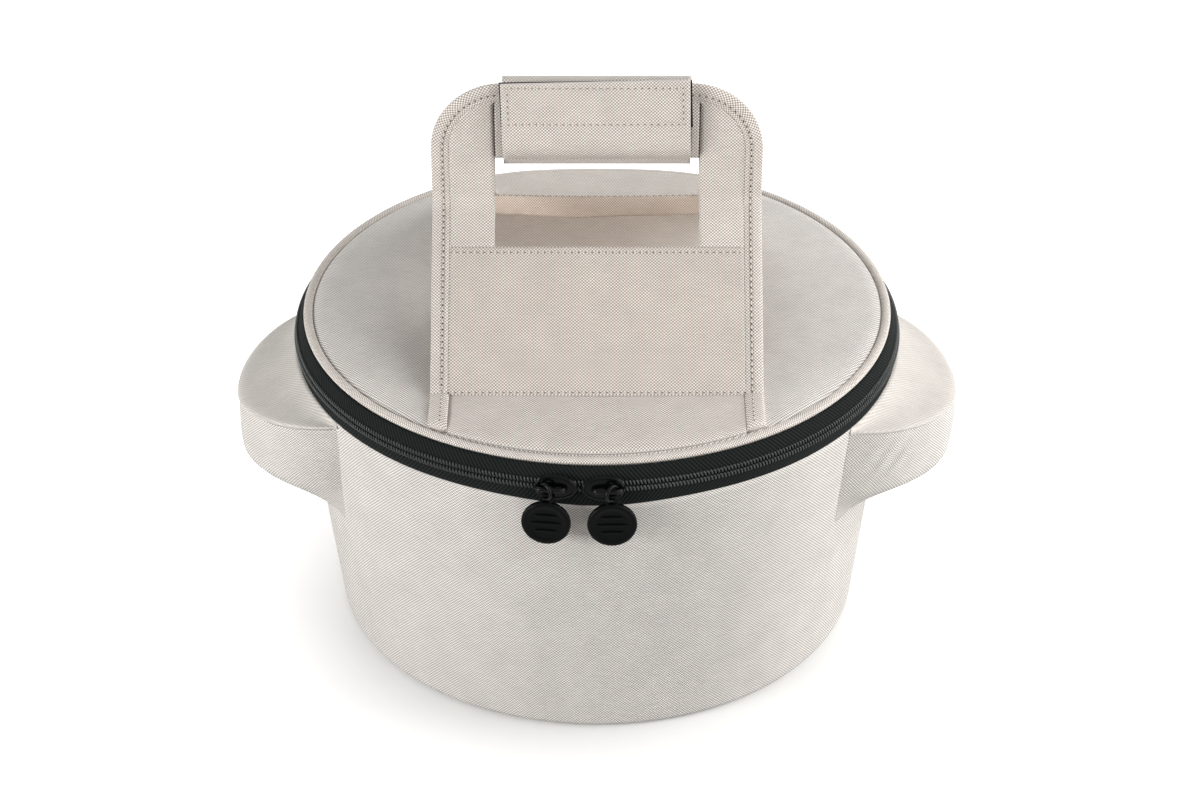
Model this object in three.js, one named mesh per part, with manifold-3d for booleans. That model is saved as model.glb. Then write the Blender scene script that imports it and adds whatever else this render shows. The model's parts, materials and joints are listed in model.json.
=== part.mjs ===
import * as THREE from 'three';
import { mergeVertices } from 'three/addons/utils/BufferGeometryUtils.js';
import Module from 'manifold-3d';

const wasm = await Module();
wasm.setup();

// Driving sizes in millimetres, angles in degrees
const GAP = 0.3;                  // clearance between touching pieces
const BASE_R = 126.5;             // outer wall radius at the table
const MOUTH_R = 142.5;            // outer wall radius at the zip
const WALL_H = 138.4;             // wall height up to the zip
const BASE_CURVE = 4;             // rounding between wall and base
const BASE_SEAM = 12;             // base seam inside the wall's foot
const CANVAS = 1.2;               // outer canvas thickness
const FOAM = 5;                   // insulating foam thickness
const LINING = 1;                 // wipe-clean lining thickness
const ZIP_H = 16.9;               // height of the whole zip band
const ZIP_INSET = 3.3;            // how far the zip band leans in
const ZIP_BULGE = 2;              // belly of the zip band between its edges
const TAPE = 0.9;                 // zip tape thickness
const COIL_H = 2;                 // height of one row of coil
const COIL_GAP = 1.2;             // slot between the two rows
const COIL_PROUD = 0.7;           // coil standing out of the tape
const COIL_DEPTH = 2.4;           // coil thickness across the tape
const BINDING_H = 2;              // inner seam binding height
const HINGE_HALF = 26;            // half angle of the rear hinge panel
const HINGE_GAP = 0.3;            // angle between zip end and hinge panel
const RIM_W = 5.8;                // width of the pale rim band
const RIM_RISE = 2.2;             // rise of the rim band to the lid
const RIM_TUCK = 0.4;             // rim band reaching below the zip's edge
const RIM_SOFT = 0.6;             // rounding of the rim band's outer edge
const LID_CROWN = 0.9;            // lid pad above the rim seam
const LID_ROLL = 9;               // width of the rolled lid edge
const LID_FOAM = 5;               // lid foam thickness
const EAR_OUT = 30.8;             // how far an ear stands out
const EAR_HALF = 22.2;            // half angle of an ear at its root
const EAR_TURN = 12;              // ears sit this far forward of square
const EAR_SHAPE = 1.76;           // exponent of the ear's plan outline, rear half
const EAR_FRONT = 1.58;           // and of its front half, straighter at the wall
const EAR_DROP = 1.7;             // ear top below the zip
const EAR_SLOPE = 0.345;          // fall of the ear top outwards
const EAR_H = 53.4;               // ear height at its root
const EAR_SIDE = 0.74;            // share of the height before it turns in
const EAR_SOFT = 0.04;            // share of the height over which it turns
const EAR_HOLD = 0.7;             // how far its side stays plumb beside the wall
const EAR_WALL = 2.2;             // padded ear panel thickness
const WINDOW_SIDE = 6;            // angle from ear root to pocket window
const WINDOW_LOW = 9;             // window above the bottom of the ear
const WINDOW_HIGH = 10;           // window below the top of the ear
const WINDOW_CORNER = 8;          // corner radius of the window
const HANDLE_W = 150;             // width of a handle
const HANDLE_RISE = 116;          // front handle top above the lid
const REAR_DROP = 6.5;            // rear handle top below the front one
const HANDLE_SEAM_Y = 91;         // handle seam from the lid centre
const HANDLE_LEAN = 58;           // lean of the lower handle from upright
const HANDLE_APART = 11;          // distance between the upright straps
const HANDLE_BEND = 9;            // radius of the bend to upright
const HANDLE_CORNER = 33;         // radius of the top corners
const HANDLE_T = 2.4;             // strap and panel thickness
const HANDLE_START = 2.6;         // handle stands this far off its seam
const PANEL_LEN = 76.3;           // plain panel below the hand hole
const HOLE_W = 93;                // width of the hand hole
const TOP_BAND = 14;              // strap above the hand hole
const HOLE_CORNER = 12;           // stretch of the hole taken by a corner
const EDGE_W = 8.6;               // width of the edge binding
const EDGE_T = 3.2;               // thickness of the edge binding
const FLAP_T = 1.2;               // handle flap sewn on the lid
const FLAP_IN = 0.8;              // flap end inside the lid seam
const FLAP_BACK = 0.4;            // flap start in front of the seam
const PAD_LAP = 8;                // grip pad tucked behind each strap
const PAD_H = 36.3;               // height of a grip pad
const PAD_T = 3.6;                // thickness of a grip pad
const PAD_DOWN = 3.2;             // grip pad below the handle's top
const WRAP_W = 86;                // width of the grip wrap
const WRAP_T = 1.2;               // thickness of the grip wrap
const WRAP_EASE = 0.5;            // room between the wrap and what it holds
const WRAP_TAPER = 4;             // height over which the wrap narrows
const WRAP_RISE = 3.2;            // flap's free edge above the wrap
const HOOK_H = 20;                // height of the fastening tapes
const HOOK_T = 0.8;               // thickness of a fastening tape
const HOOK_SHOWS = 0.7;           // hook tape standing out past the flap
const LOOP_IN = 2;                // loop tape short of the wrap's sides
const SLIDER_L = 18.6;            // slider length along the zip
const SLIDER_H = 11.6;            // slider height across the zip
const SLIDER_T = 1.7;             // slider plate thickness
const SLIDER_LIP = 1.1;           // lip along the slider's front plate
const SLIDER_POST = 5;            // dividing post from the slider's ends
const SLIDER_PLAY = 0.4;          // slider plates clear of the coil
const SLIDER_MEET = -3;           // bearing where the sliders meet
const SLIDER_APART = 1.4;         // clear space between the sliders
const BAIL_T = 1.7;               // thickness of the slider's bridge bar
const BAIL_IN = 5.2;              // inner bridge leg from the slider's end
const LEG_T = 1.6;                // width of a bridge leg
const RING_R = 3.5;               // pull ring radius to the wire centre
const RING_WIRE = 0.8;            // pull ring wire radius
const RING_TWIST = 45;            // pull ring turned towards the front
const DISC_R = 11;                // pull disc radius
const DISC_T = 3;                 // pull disc thickness
const DISC_HANG = 12;             // disc centre below its eyelet
const EYELET_R = 2.6;             // hole in the disc's eyelet
const EYELET_W = 1.2;             // material round the eyelet's hole
const RIB_W = 1.4;                // width of a grip rib on the disc
const LAP = 0.1;                  // overlap of shapes joined into one solid
const SEGMENTS = 48;              // facets round the body

// Derived sizes
const rad = (degrees) => degrees * Math.PI / 180;
const STACK = CANVAS + FOAM + LINING + 2 * GAP;
const BASE_SPLIT_R = BASE_R - BASE_SEAM;
const ZIP_TOP_Z = WALL_H + ZIP_H;
const ZIP_MID_Z = WALL_H + ZIP_H / 2;
const ZIP_TOP_R = MOUTH_R - ZIP_INSET;
const LID_R = ZIP_TOP_R - RIM_W;
const RIM_Z = ZIP_TOP_Z + RIM_RISE;
const LID_TOP = RIM_Z + LID_CROWN;
const LID_UNDER = LID_TOP - CANVAS - LID_FOAM - LINING - 2 * GAP;
const EAR_ROOT_Z = WALL_H - EAR_DROP;
const SEAM_Z = LID_TOP + GAP + FLAP_T + GAP;
const UPRIGHT_Y = -HANDLE_APART / 2;
const HANDLE_TOP_Z = LID_TOP + HANDLE_RISE;

// Outer wall radius at a height, on the straight part of the wall
const wallR = (z) => BASE_R + (MOUTH_R - BASE_R) * z / WALL_H;

// Outer face of the zip band at a height
const zipR = (z) => {
  const share = (z - WALL_H) / ZIP_H;
  return MOUTH_R - ZIP_INSET * share + 4 * ZIP_BULGE * share * (1 - share);
};

// Point at a radius and bearing, bearing 0 in front and 90 to the right
const polar = (r, bearing, z) => [r * Math.sin(bearing), -r * Math.cos(bearing), z];

const canvas = new THREE.MeshStandardMaterial({ color: 0xd9d2c9, roughness: 0.9 });
const bindingCloth = new THREE.MeshStandardMaterial({ color: 0xd6cdc3, roughness: 0.9 });
const foam = new THREE.MeshStandardMaterial({ color: 0xf0efea, roughness: 1 });
const lining = new THREE.MeshStandardMaterial({ color: 0xb9bcbd, roughness: 0.5 });
const zipTape = new THREE.MeshStandardMaterial({ color: 0x1d2020, roughness: 0.9 });
const zipCoil = new THREE.MeshStandardMaterial({ color: 0x141717, roughness: 0.5 });
const blackMetal = new THREE.MeshStandardMaterial({ color: 0x17191a, roughness: 0.4 });
const rubber = new THREE.MeshStandardMaterial({ color: 0x121515, roughness: 0.7 });
const hookTape = new THREE.MeshStandardMaterial({ color: 0x232527, roughness: 0.95 });

const group = new THREE.Group();

function add(name, geometry, material) {
  const mesh = new THREE.Mesh(geometry, material);
  mesh.name = name;
  group.add(mesh);
}

// Closed solid from points and triangles, turned outward if it came inside out
function solid(points, faces) {
  let volume = 0;
  for (const [a, b, c] of faces) {
    const [p, q, r] = [points[a], points[b], points[c]];
    volume += p[0] * (q[1] * r[2] - q[2] * r[1]);
    volume += p[1] * (q[2] * r[0] - q[0] * r[2]);
    volume += p[2] * (q[0] * r[1] - q[1] * r[0]);
  }
  const turned = volume < 0 ? faces.map(([a, b, c]) => [a, c, b]) : faces;
  const geometry = new THREE.BufferGeometry();
  geometry.setAttribute('position', new THREE.Float32BufferAttribute(points.flat(), 3));
  geometry.setIndex(turned.flat());
  geometry.computeVertexNormals();
  return geometry;
}

// Section of radius and height pairs swept round the upright axis
function ring(section, from = 0, to = 360, steps = SEGMENTS) {
  const full = Math.abs(to - from) >= 360;
  const rows = full ? steps : steps + 1;
  const count = section.length;
  const points = [];
  for (let i = 0; i < rows; i += 1) {
    const bearing = rad(from + (to - from) * i / steps);
    for (const [r, z] of section) points.push(polar(r, bearing, z));
  }
  const faces = [];
  for (let i = 0; i < steps; i += 1) {
    const near = i * count;
    const far = ((i + 1) % rows) * count;
    for (let j = 0; j < count; j += 1) {
      const k = (j + 1) % count;
      faces.push([near + j, far + j, near + k], [near + k, far + j, far + k]);
    }
  }
  if (!full) {
    const outline = section.map(([r, z]) => new THREE.Vector2(r, z));
    const last = (rows - 1) * count;
    for (const [a, b, c] of THREE.ShapeUtils.triangulateShape(outline, [])) {
      faces.push([a, b, c], [last + a, last + c, last + b]);
    }
  }
  return solid(points, faces);
}

// Round plate with an upper and a lower profile, each from the axis outwards
function plate(upper, lower) {
  const points = [];
  const faces = [];
  const addSide = (profile) => {
    const first = points.length;
    points.push([0, 0, profile[0][1]]);
    for (const [r, z] of profile.slice(1)) {
      for (let i = 0; i < SEGMENTS; i += 1) {
        points.push(polar(r, rad(360 * i / SEGMENTS), z));
      }
    }
    return first;
  };
  const top = addSide(upper);
  const under = addSide(lower);
  const at = (first, row, i) => first + 1 + (row - 1) * SEGMENTS + (i % SEGMENTS);
  for (let i = 0; i < SEGMENTS; i += 1) {
    faces.push([top, at(top, 1, i), at(top, 1, i + 1)]);
    faces.push([under, at(under, 1, i + 1), at(under, 1, i)]);
    for (let row = 1; row < upper.length - 1; row += 1) {
      faces.push([at(top, row, i), at(top, row + 1, i), at(top, row + 1, i + 1)]);
      faces.push([at(top, row, i), at(top, row + 1, i + 1), at(top, row, i + 1)]);
    }
    for (let row = 1; row < lower.length - 1; row += 1) {
      faces.push([at(under, row, i), at(under, row + 1, i + 1), at(under, row + 1, i)]);
      faces.push([at(under, row, i), at(under, row, i + 1), at(under, row + 1, i + 1)]);
    }
    const a = at(top, upper.length - 1, i);
    const b = at(top, upper.length - 1, i + 1);
    const c = at(under, lower.length - 1, i);
    const d = at(under, lower.length - 1, i + 1);
    faces.push([a, c, d], [a, d, b]);
  }
  return solid(points, faces);
}

// Closed sheet between two grids of points with the same rows and columns
function sheet(face, back) {
  const rows = face.length;
  const columns = face[0].length;
  const points = [...face.flat(), ...back.flat()];
  const f = (i, j) => i * columns + j;
  const b = (i, j) => rows * columns + f(i, j);
  const faces = [];
  const quad = (p, q, r, s) => faces.push([p, q, r], [p, r, s]);
  for (let i = 0; i < rows - 1; i += 1) {
    for (let j = 0; j < columns - 1; j += 1) {
      quad(f(i, j), f(i + 1, j), f(i + 1, j + 1), f(i, j + 1));
      quad(b(i, j), b(i, j + 1), b(i + 1, j + 1), b(i + 1, j));
    }
  }
  for (let i = 0; i < rows - 1; i += 1) {
    quad(f(i, 0), b(i, 0), b(i + 1, 0), f(i + 1, 0));
    quad(f(i, columns - 1), f(i + 1, columns - 1), b(i + 1, columns - 1), b(i, columns - 1));
  }
  for (let j = 0; j < columns - 1; j += 1) {
    quad(f(0, j), f(0, j + 1), b(0, j + 1), b(0, j));
    quad(f(rows - 1, j), b(rows - 1, j), b(rows - 1, j + 1), f(rows - 1, j + 1));
  }
  return solid(points, faces);
}

// Box from its lowest to its highest corner
function box(x0, y0, z0, x1, y1, z1) {
  const geometry = new THREE.BoxGeometry(x1 - x0, y1 - y0, z1 - z0);
  geometry.translate((x0 + x1) / 2, (y0 + y1) / 2, (z0 + z1) / 2);
  return geometry;
}

function toManifold(geometry) {
  const bare = new THREE.BufferGeometry();
  bare.setAttribute('position', geometry.getAttribute('position').clone());
  bare.setIndex(geometry.getIndex());
  const merged = mergeVertices(bare, 1e-4);
  const vertProperties = new Float32Array(merged.getAttribute('position').array);
  const triVerts = new Uint32Array(merged.getIndex().array);
  return new wasm.Manifold(new wasm.Mesh({ numProp: 3, vertProperties, triVerts }));
}

function fromManifold(manifold) {
  const mesh = manifold.getMesh();
  const geometry = new THREE.BufferGeometry();
  geometry.setAttribute('position', new THREE.Float32BufferAttribute(mesh.vertProperties, 3));
  geometry.setIndex(Array.from(mesh.triVerts));
  geometry.computeVertexNormals();
  return geometry;
}

function cut(geometry, cutters) {
  let result = toManifold(geometry);
  for (const cutter of cutters) result = result.subtract(toManifold(cutter));
  return fromManifold(result);
}

function join(geometries) {
  let result = toManifold(geometries[0]);
  for (const other of geometries.slice(1)) result = result.add(toManifold(other));
  return fromManifold(result);
}

// Wall line from the base split up to the mouth, moved inwards by a depth
function wallLine(depth) {
  const lean = Math.atan2(MOUTH_R - BASE_R, WALL_H);
  const inward = depth / Math.cos(lean);
  const bend = BASE_CURVE - depth;
  const turn = Math.PI / 2 - lean;
  const centreR = wallR(BASE_CURVE) - BASE_CURVE / Math.cos(lean);
  const line = [[BASE_SPLIT_R + GAP, depth]];
  if (bend > GAP) {
    for (let i = 0; i <= 3; i += 1) {
      const angle = turn * i / 3 - Math.PI / 2;
      line.push([centreR + bend * Math.cos(angle), BASE_CURVE + bend * Math.sin(angle)]);
    }
  } else {
    line.push([wallR(depth) - inward, depth]);
  }
  line.push([MOUTH_R - inward, WALL_H]);
  return line;
}

// One layer of the wall between two depths
function wallLayer(outerDepth, innerDepth) {
  const outer = wallLine(outerDepth);
  const inner = wallLine(innerDepth).reverse();
  return ring([...outer, ...inner]);
}

// Window that opens an ear pocket into the body
function earWindow(side) {
  const half = wallR(EAR_ROOT_Z) * Math.sin(rad(EAR_HALF - WINDOW_SIDE));
  const low = EAR_ROOT_Z - EAR_H + WINDOW_LOW;
  const high = EAR_ROOT_Z - WINDOW_HIGH;
  const soft = Math.min(WINDOW_CORNER, half / 3, (high - low) / 3);
  const shape = new THREE.Shape();
  shape.moveTo(-half + soft, low);
  shape.lineTo(half - soft, low);
  shape.absarc(half - soft, low + soft, soft, -Math.PI / 2, 0);
  shape.lineTo(half, high - soft);
  shape.absarc(half - soft, high - soft, soft, 0, Math.PI / 2);
  shape.lineTo(-half + soft, high);
  shape.absarc(-half + soft, high - soft, soft, Math.PI / 2, Math.PI);
  shape.lineTo(-half, low + soft);
  shape.absarc(-half + soft, low + soft, soft, Math.PI, Math.PI * 1.5);
  const depth = MOUTH_R - BASE_R + 6 * STACK;
  const geometry = new THREE.ExtrudeGeometry(shape, {
    depth, bevelEnabled: false, curveSegments: 3,
  });
  geometry.rotateX(Math.PI / 2);
  geometry.translate(0, -BASE_R + 3 * STACK, 0);
  geometry.rotateZ(rad(side * (90 - EAR_TURN)));
  return geometry;
}

// Body layers
const windows = [earWindow(-1), earWindow(1)];
const foamDepth = CANVAS + GAP;
const liningDepth = foamDepth + FOAM + GAP;
add('side_wall', cut(wallLayer(0, CANVAS), windows), canvas);
add('wall_foam', cut(wallLayer(foamDepth, foamDepth + FOAM), windows), foam);
add('wall_lining', cut(wallLayer(liningDepth, STACK), windows), lining);

function baseLayer(low, high) {
  return plate([[0, high], [BASE_SPLIT_R, high]], [[0, low], [BASE_SPLIT_R, low]]);
}
add('base_panel', baseLayer(0, CANVAS), canvas);
add('base_foam', baseLayer(foamDepth, foamDepth + FOAM), foam);
add('base_lining', baseLayer(liningDepth, STACK), lining);

// Ears
function earOutline(side, t) {
  if (side * t < 0) return Math.max(1 - Math.abs(t) ** EAR_FRONT, 0);
  return Math.max(1 - Math.abs(t) ** EAR_SHAPE, 0) ** (1 / EAR_SHAPE);
}

// Share of the stand-out left at a share of the ear's height
function earTuck(v) {
  const x = v - EAR_SIDE;
  const turned = (Math.hypot(x, EAR_SOFT) + x) / 2;
  const end = 1 - EAR_SIDE;
  const whole = (Math.hypot(end, EAR_SOFT) + end) / 2;
  const start = (Math.hypot(EAR_SIDE, EAR_SOFT) - EAR_SIDE) / 2;
  return Math.max(1 - (turned - start) / (whole - start), 0);
}

const earSteps = (count) => Array.from({ length: count + 1 }, (_, i) => 2 * i / count - 1);

function earPoint(side, inset, t, standOut, z) {
  const half = rad(EAR_HALF) - inset / MOUTH_R;
  const bearing = side * rad(90 - EAR_TURN) + t * half;
  return polar(wallR(z) + GAP + standOut, bearing, z);
}

// Side and bottom of an ear as one bent panel, moved inwards by an inset
function earShell(side, inset, thickness) {
  const levels = [
    ...[0, 0.45, 0.8, 1].map((share) => EAR_SIDE * share),
    ...[0.3, 0.65, 1].map((share) => EAR_SIDE + (1 - EAR_SIDE) * share),
  ];
  const surface = (deep) => earSteps(14).map((t) => {
    const plumb = (z) => EAR_HOLD * (wallR(EAR_ROOT_Z) - wallR(z));
    const reach = (z) => (EAR_OUT - deep + plumb(z)) * earOutline(side, t);
    const top = EAR_ROOT_Z - EAR_SLOPE * EAR_OUT * earOutline(side, t) - EAR_WALL - GAP;
    const low = EAR_ROOT_Z - EAR_H + deep;
    return levels.map((v) => {
      const z = top + (low - top) * v;
      return earPoint(side, deep, t, reach(z) * earTuck(v), z);
    });
  });
  return sheet(surface(inset), surface(inset + thickness));
}

function earTop(side) {
  const surface = (drop) => earSteps(14).map((t) => {
    const reach = EAR_WALL * 0.5 + (EAR_OUT - EAR_WALL * 0.5) * earOutline(side, t);
    return [0, 0.33, 0.67, 1].map((q) => {
      const z = EAR_ROOT_Z - EAR_SLOPE * reach * q - drop;
      const bearing = side * rad(90 - EAR_TURN) + t * rad(EAR_HALF);
      return polar(wallR(EAR_ROOT_Z) + GAP + reach * q, bearing, z);
    });
  });
  return sheet(surface(0), surface(EAR_WALL - GAP));
}

for (const [word, side] of [['left', -1], ['right', 1]]) {
  add(`${word}_ear_top`, earTop(side), canvas);
  add(`${word}_ear_gusset`, earShell(side, 0, EAR_WALL), canvas);
  add(`${word}_ear_lining`, earShell(side, EAR_WALL + 2 * GAP, LINING), lining);
}

// Zip and rear hinge
const ZIP_END = 180 - HINGE_HALF;

function bandSection(z0, z1, outward, depth, steps) {
  const heights = Array.from({ length: steps + 1 }, (_, i) => z0 + (z1 - z0) * i / steps);
  const outer = heights.map((z) => [zipR(z) + outward, z]);
  const inner = heights.map((z) => [zipR(z) + outward - depth, z]);
  return [...outer, ...inner.reverse()];
}

function zipBand(z0, z1, outward, depth, steps) {
  return ring(bandSection(z0, z1, outward, depth, steps), -ZIP_END, ZIP_END, SEGMENTS);
}

const coilLow = ZIP_MID_Z - COIL_GAP / 2;
const coilHigh = ZIP_MID_Z + COIL_GAP / 2;
const lowTapeTop = coilLow - COIL_H - GAP;
const highTapeLow = coilHigh + COIL_H + GAP;
add('body_zip_tape', zipBand(WALL_H + GAP, lowTapeTop, 0, TAPE, 2), zipTape);
add('body_zip_coil', zipBand(lowTapeTop + GAP, coilLow, COIL_PROUD, COIL_DEPTH, 1), zipCoil);
add('lid_zip_coil', zipBand(coilHigh, highTapeLow - GAP, COIL_PROUD, COIL_DEPTH, 1), zipCoil);
add('lid_zip_tape', zipBand(highTapeLow, ZIP_TOP_Z - GAP, 0, TAPE, 2), zipTape);

const hingeFrom = ZIP_END + HINGE_GAP;
const hingeSection = bandSection(WALL_H + GAP, ZIP_TOP_Z - GAP, 0, CANVAS, 6);
add('hinge_panel', ring(hingeSection, hingeFrom, 360 - hingeFrom, 10), canvas);

const mouthIn = MOUTH_R - STACK - 2 * GAP;
const mouthOut = Math.min(MOUTH_R, zipR(WALL_H + GAP + BINDING_H)) - CANVAS - GAP;
add('mouth_binding', ring([
  [mouthIn, WALL_H + GAP],
  [mouthOut, WALL_H + GAP],
  [mouthOut, WALL_H + GAP + BINDING_H],
  [mouthIn, WALL_H + GAP + BINDING_H],
]), bindingCloth);

// Lid
function lidZ(r) {
  const edge = LID_R - LID_ROLL;
  if (r <= edge) return LID_TOP;
  const share = (r - edge) / LID_ROLL;
  return LID_TOP - LID_CROWN * share * share;
}
const LID_ROWS = [LID_R - LID_ROLL, LID_R - LID_ROLL * 0.5, LID_R - LID_ROLL * 0.15, LID_R];

function lidProfile(drop, reach) {
  const rows = LID_ROWS.map((r) => [r + reach, lidZ(r) - drop]);
  return [[0, LID_TOP - drop], ...rows];
}
const lidFoamDrop = CANVAS + GAP;
add('lid_top_panel', plate(lidProfile(0, 0), lidProfile(CANVAS, 0)), canvas);
add('lid_foam', plate(
  lidProfile(lidFoamDrop, 0),
  [[0, LID_UNDER + LINING + GAP], [LID_R, LID_UNDER + LINING + GAP]],
), foam);
add('lid_lining', plate(
  [[0, LID_UNDER + LINING], [LID_R, LID_UNDER + LINING]],
  [[0, LID_UNDER], [LID_R, LID_UNDER]],
), lining);

const rimIn = LID_R + GAP;
const rimLow = ZIP_TOP_Z - RIM_TUCK;
add('lid_rim_band', ring([
  [rimIn, rimLow],
  [ZIP_TOP_R - RIM_SOFT, ZIP_TOP_Z],
  [ZIP_TOP_R, ZIP_TOP_Z + RIM_SOFT],
  [ZIP_TOP_R - RIM_W * 0.2, ZIP_TOP_Z + RIM_RISE * 0.8],
  [ZIP_TOP_R - RIM_W * 0.55, ZIP_TOP_Z + RIM_RISE * 1.15],
  [rimIn, RIM_Z],
]), bindingCloth);
const seamTop = rimLow - GAP;
const seamOut = ZIP_TOP_R - CANVAS - GAP;
add('lid_seam_binding', ring([
  [rimIn, seamTop - BINDING_H],
  [seamOut, seamTop - BINDING_H],
  [seamOut, seamTop],
  [rimIn, seamTop],
]), bindingCloth);

// Handles, drawn as flat blanks and then bent
const lean = rad(HANDLE_LEAN);
const bendSetback = HANDLE_BEND * Math.tan(lean / 2);
const leanLength = (HANDLE_SEAM_Y + UPRIGHT_Y) / Math.sin(lean);
const kneeZ = SEAM_Z + leanLength * Math.cos(lean);
const bendStart = leanLength - bendSetback;
const bendEnd = bendStart + HANDLE_BEND * lean;

// Length of the flat blank of a handle whose top is lowered by a drop
const blankLength = (drop) => bendEnd + HANDLE_TOP_Z - drop - kneeZ - bendSetback;

// Place on the front handle of a blank point: across, along, towards the front
function bent(across, along, out) {
  if (along <= bendStart) {
    const y = -HANDLE_SEAM_Y + along * Math.sin(lean) - out * Math.cos(lean);
    return [across, y, SEAM_Z + along * Math.cos(lean) + out * Math.sin(lean)];
  }
  const turn = Math.min((along - bendStart) / HANDLE_BEND, lean);
  const rest = Math.max(along - bendEnd, 0);
  const angle = lean - turn;
  const y0 = -HANDLE_SEAM_Y + bendStart * Math.sin(lean);
  const z0 = SEAM_Z + bendStart * Math.cos(lean);
  const y = y0 + HANDLE_BEND * (Math.cos(angle) - Math.cos(lean)) + rest * Math.sin(angle);
  const z = z0 + HANDLE_BEND * (Math.sin(lean) - Math.sin(angle)) + rest * Math.cos(angle);
  return [across, y - out * Math.cos(angle), z + out * Math.sin(angle)];
}

// Lengths along the blank where the sheet needs a row of points
function alongRows(from, to) {
  const marks = [from, to];
  for (let i = 0; i <= 4; i += 1) marks.push(bendStart + (bendEnd - bendStart) * i / 4);
  return [...new Set(marks)].filter((v) => v >= from && v <= to).sort((a, b) => a - b);
}

// Right half of a line round the blank at a distance inside its edge
function edgeLine(inside, from, drop) {
  const reach = HANDLE_W / 2 - inside;
  const corner = HANDLE_CORNER - inside;
  const top = blankLength(drop) - inside;
  const line = alongRows(from, top - corner).map((v) => [reach, v]);
  for (let i = 1; i <= 6; i += 1) {
    const angle = rad(90 * i / 6);
    const across = reach - corner + corner * Math.cos(angle);
    line.push([across, top - corner + corner * Math.sin(angle)]);
  }
  line.push([0, top]);
  return line;
}

// Inner edge of the straps, matched point by point to an edge line
function holeLine(outer, drop) {
  const half = HOLE_W / 2;
  const top = blankLength(drop) - TOP_BAND;
  const corner = outer.length - 8;
  return outer.map((point, i) => {
    if (i <= corner) return [half, Math.min(point[1], top - HOLE_CORNER)];
    if (i >= outer.length - 1) return [0, top];
    const stretch = HOLE_CORNER * (i - corner - 3) / 3;
    return stretch <= 0 ? [half, top + stretch] : [half - stretch, top];
  });
}

const mirrored = (line) => [...line, ...line.slice(0, -1).reverse().map(([u, v]) => [-u, v])];

function ribbon(outerLine, innerLine, thickness) {
  const outer = mirrored(outerLine);
  const inner = mirrored(innerLine);
  const surface = (out) => outer.map(([u, v], i) => [
    bent(u, v, out),
    bent(inner[i][0], inner[i][1], out),
  ]);
  return sheet(surface(thickness / 2), surface(-thickness / 2));
}

function handlePanel() {
  const half = HANDLE_W / 2 - EDGE_W - GAP;
  const surface = (out) => alongRows(HANDLE_START, PANEL_LEN).map((v) => (
    [-half, 0, half].map((u) => bent(u, v, out))
  ));
  return sheet(surface(HANDLE_T / 2), surface(-HANDLE_T / 2));
}

function handleStraps(drop) {
  const outer = edgeLine(EDGE_W + GAP, PANEL_LEN + GAP, drop);
  return ribbon(outer, holeLine(outer, drop), HANDLE_T);
}

function handleEdge(drop) {
  const outer = edgeLine(0, HANDLE_START, drop);
  return ribbon(outer, edgeLine(EDGE_W, HANDLE_START, drop), EDGE_T);
}

// Padded hand bar behind the straps of the front handle
const padFront = UPRIGHT_Y + EDGE_T / 2 + GAP;
const padLow = HANDLE_TOP_Z - PAD_H - PAD_DOWN;
function gripPad(drop) {
  const half = HOLE_W / 2 + PAD_LAP;
  const back = Math.min(padFront + PAD_T, -GAP / 2);
  return box(-half, padFront, padLow - drop, half, back, padLow + PAD_H - drop);
}

// Part of a handle that stays sewn down on the lid in front of the seam
function handleFlap() {
  const columns = 14;
  const surface = (lift) => Array.from({ length: columns + 1 }, (_, i) => {
    const x = HANDLE_W * (i / columns - 0.5);
    const start = HANDLE_SEAM_Y + FLAP_BACK;
    const edge = Math.sqrt((LID_R - FLAP_IN) ** 2 - x * x);
    return [0, 0.35, 0.7, 0.9, 1].map((q) => {
      const y = start + (edge - start) * q;
      return [x, -y, lidZ(Math.hypot(x, y)) + GAP + lift];
    });
  });
  return sheet(surface(FLAP_T), surface(0));
}

for (const [word, turn, drop] of [['front', 0, 0], ['rear', Math.PI, REAR_DROP]]) {
  add(`${word}_handle_flap`, handleFlap().rotateZ(turn), canvas);
  add(`${word}_handle_panel`, handlePanel().rotateZ(turn), canvas);
  add(`${word}_handle_straps`, handleStraps(drop).rotateZ(turn), canvas);
  add(`${word}_handle_edge`, handleEdge(drop).rotateZ(turn), bindingCloth);
  add(`${word}_grip_pad`, gripPad(drop).rotateZ(turn), canvas);
}

// Grip wrap round both handles, seen from the side as a line of y and z
const wrapBack = -UPRIGHT_Y + EDGE_T / 2 + GAP;
const wrapFront = -wrapBack;
const wrapTop = HANDLE_TOP_Z + WRAP_EASE;
const wrapLow = padLow - WRAP_EASE;
const hookLow = wrapTop - HOOK_H;
const rearTop = wrapTop - REAR_DROP;
const rearLow = wrapLow - REAR_DROP;

function slabFromSide(outline, halfWidth) {
  const shape = new THREE.Shape(outline.map(([y, z]) => new THREE.Vector2(y, z)));
  const geometry = new THREE.ExtrudeGeometry(shape, { depth: 2 * halfWidth, bevelEnabled: false });
  geometry.rotateX(Math.PI / 2);
  geometry.rotateZ(Math.PI / 2);
  geometry.translate(-halfWidth, 0, 0);
  return geometry;
}

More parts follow.
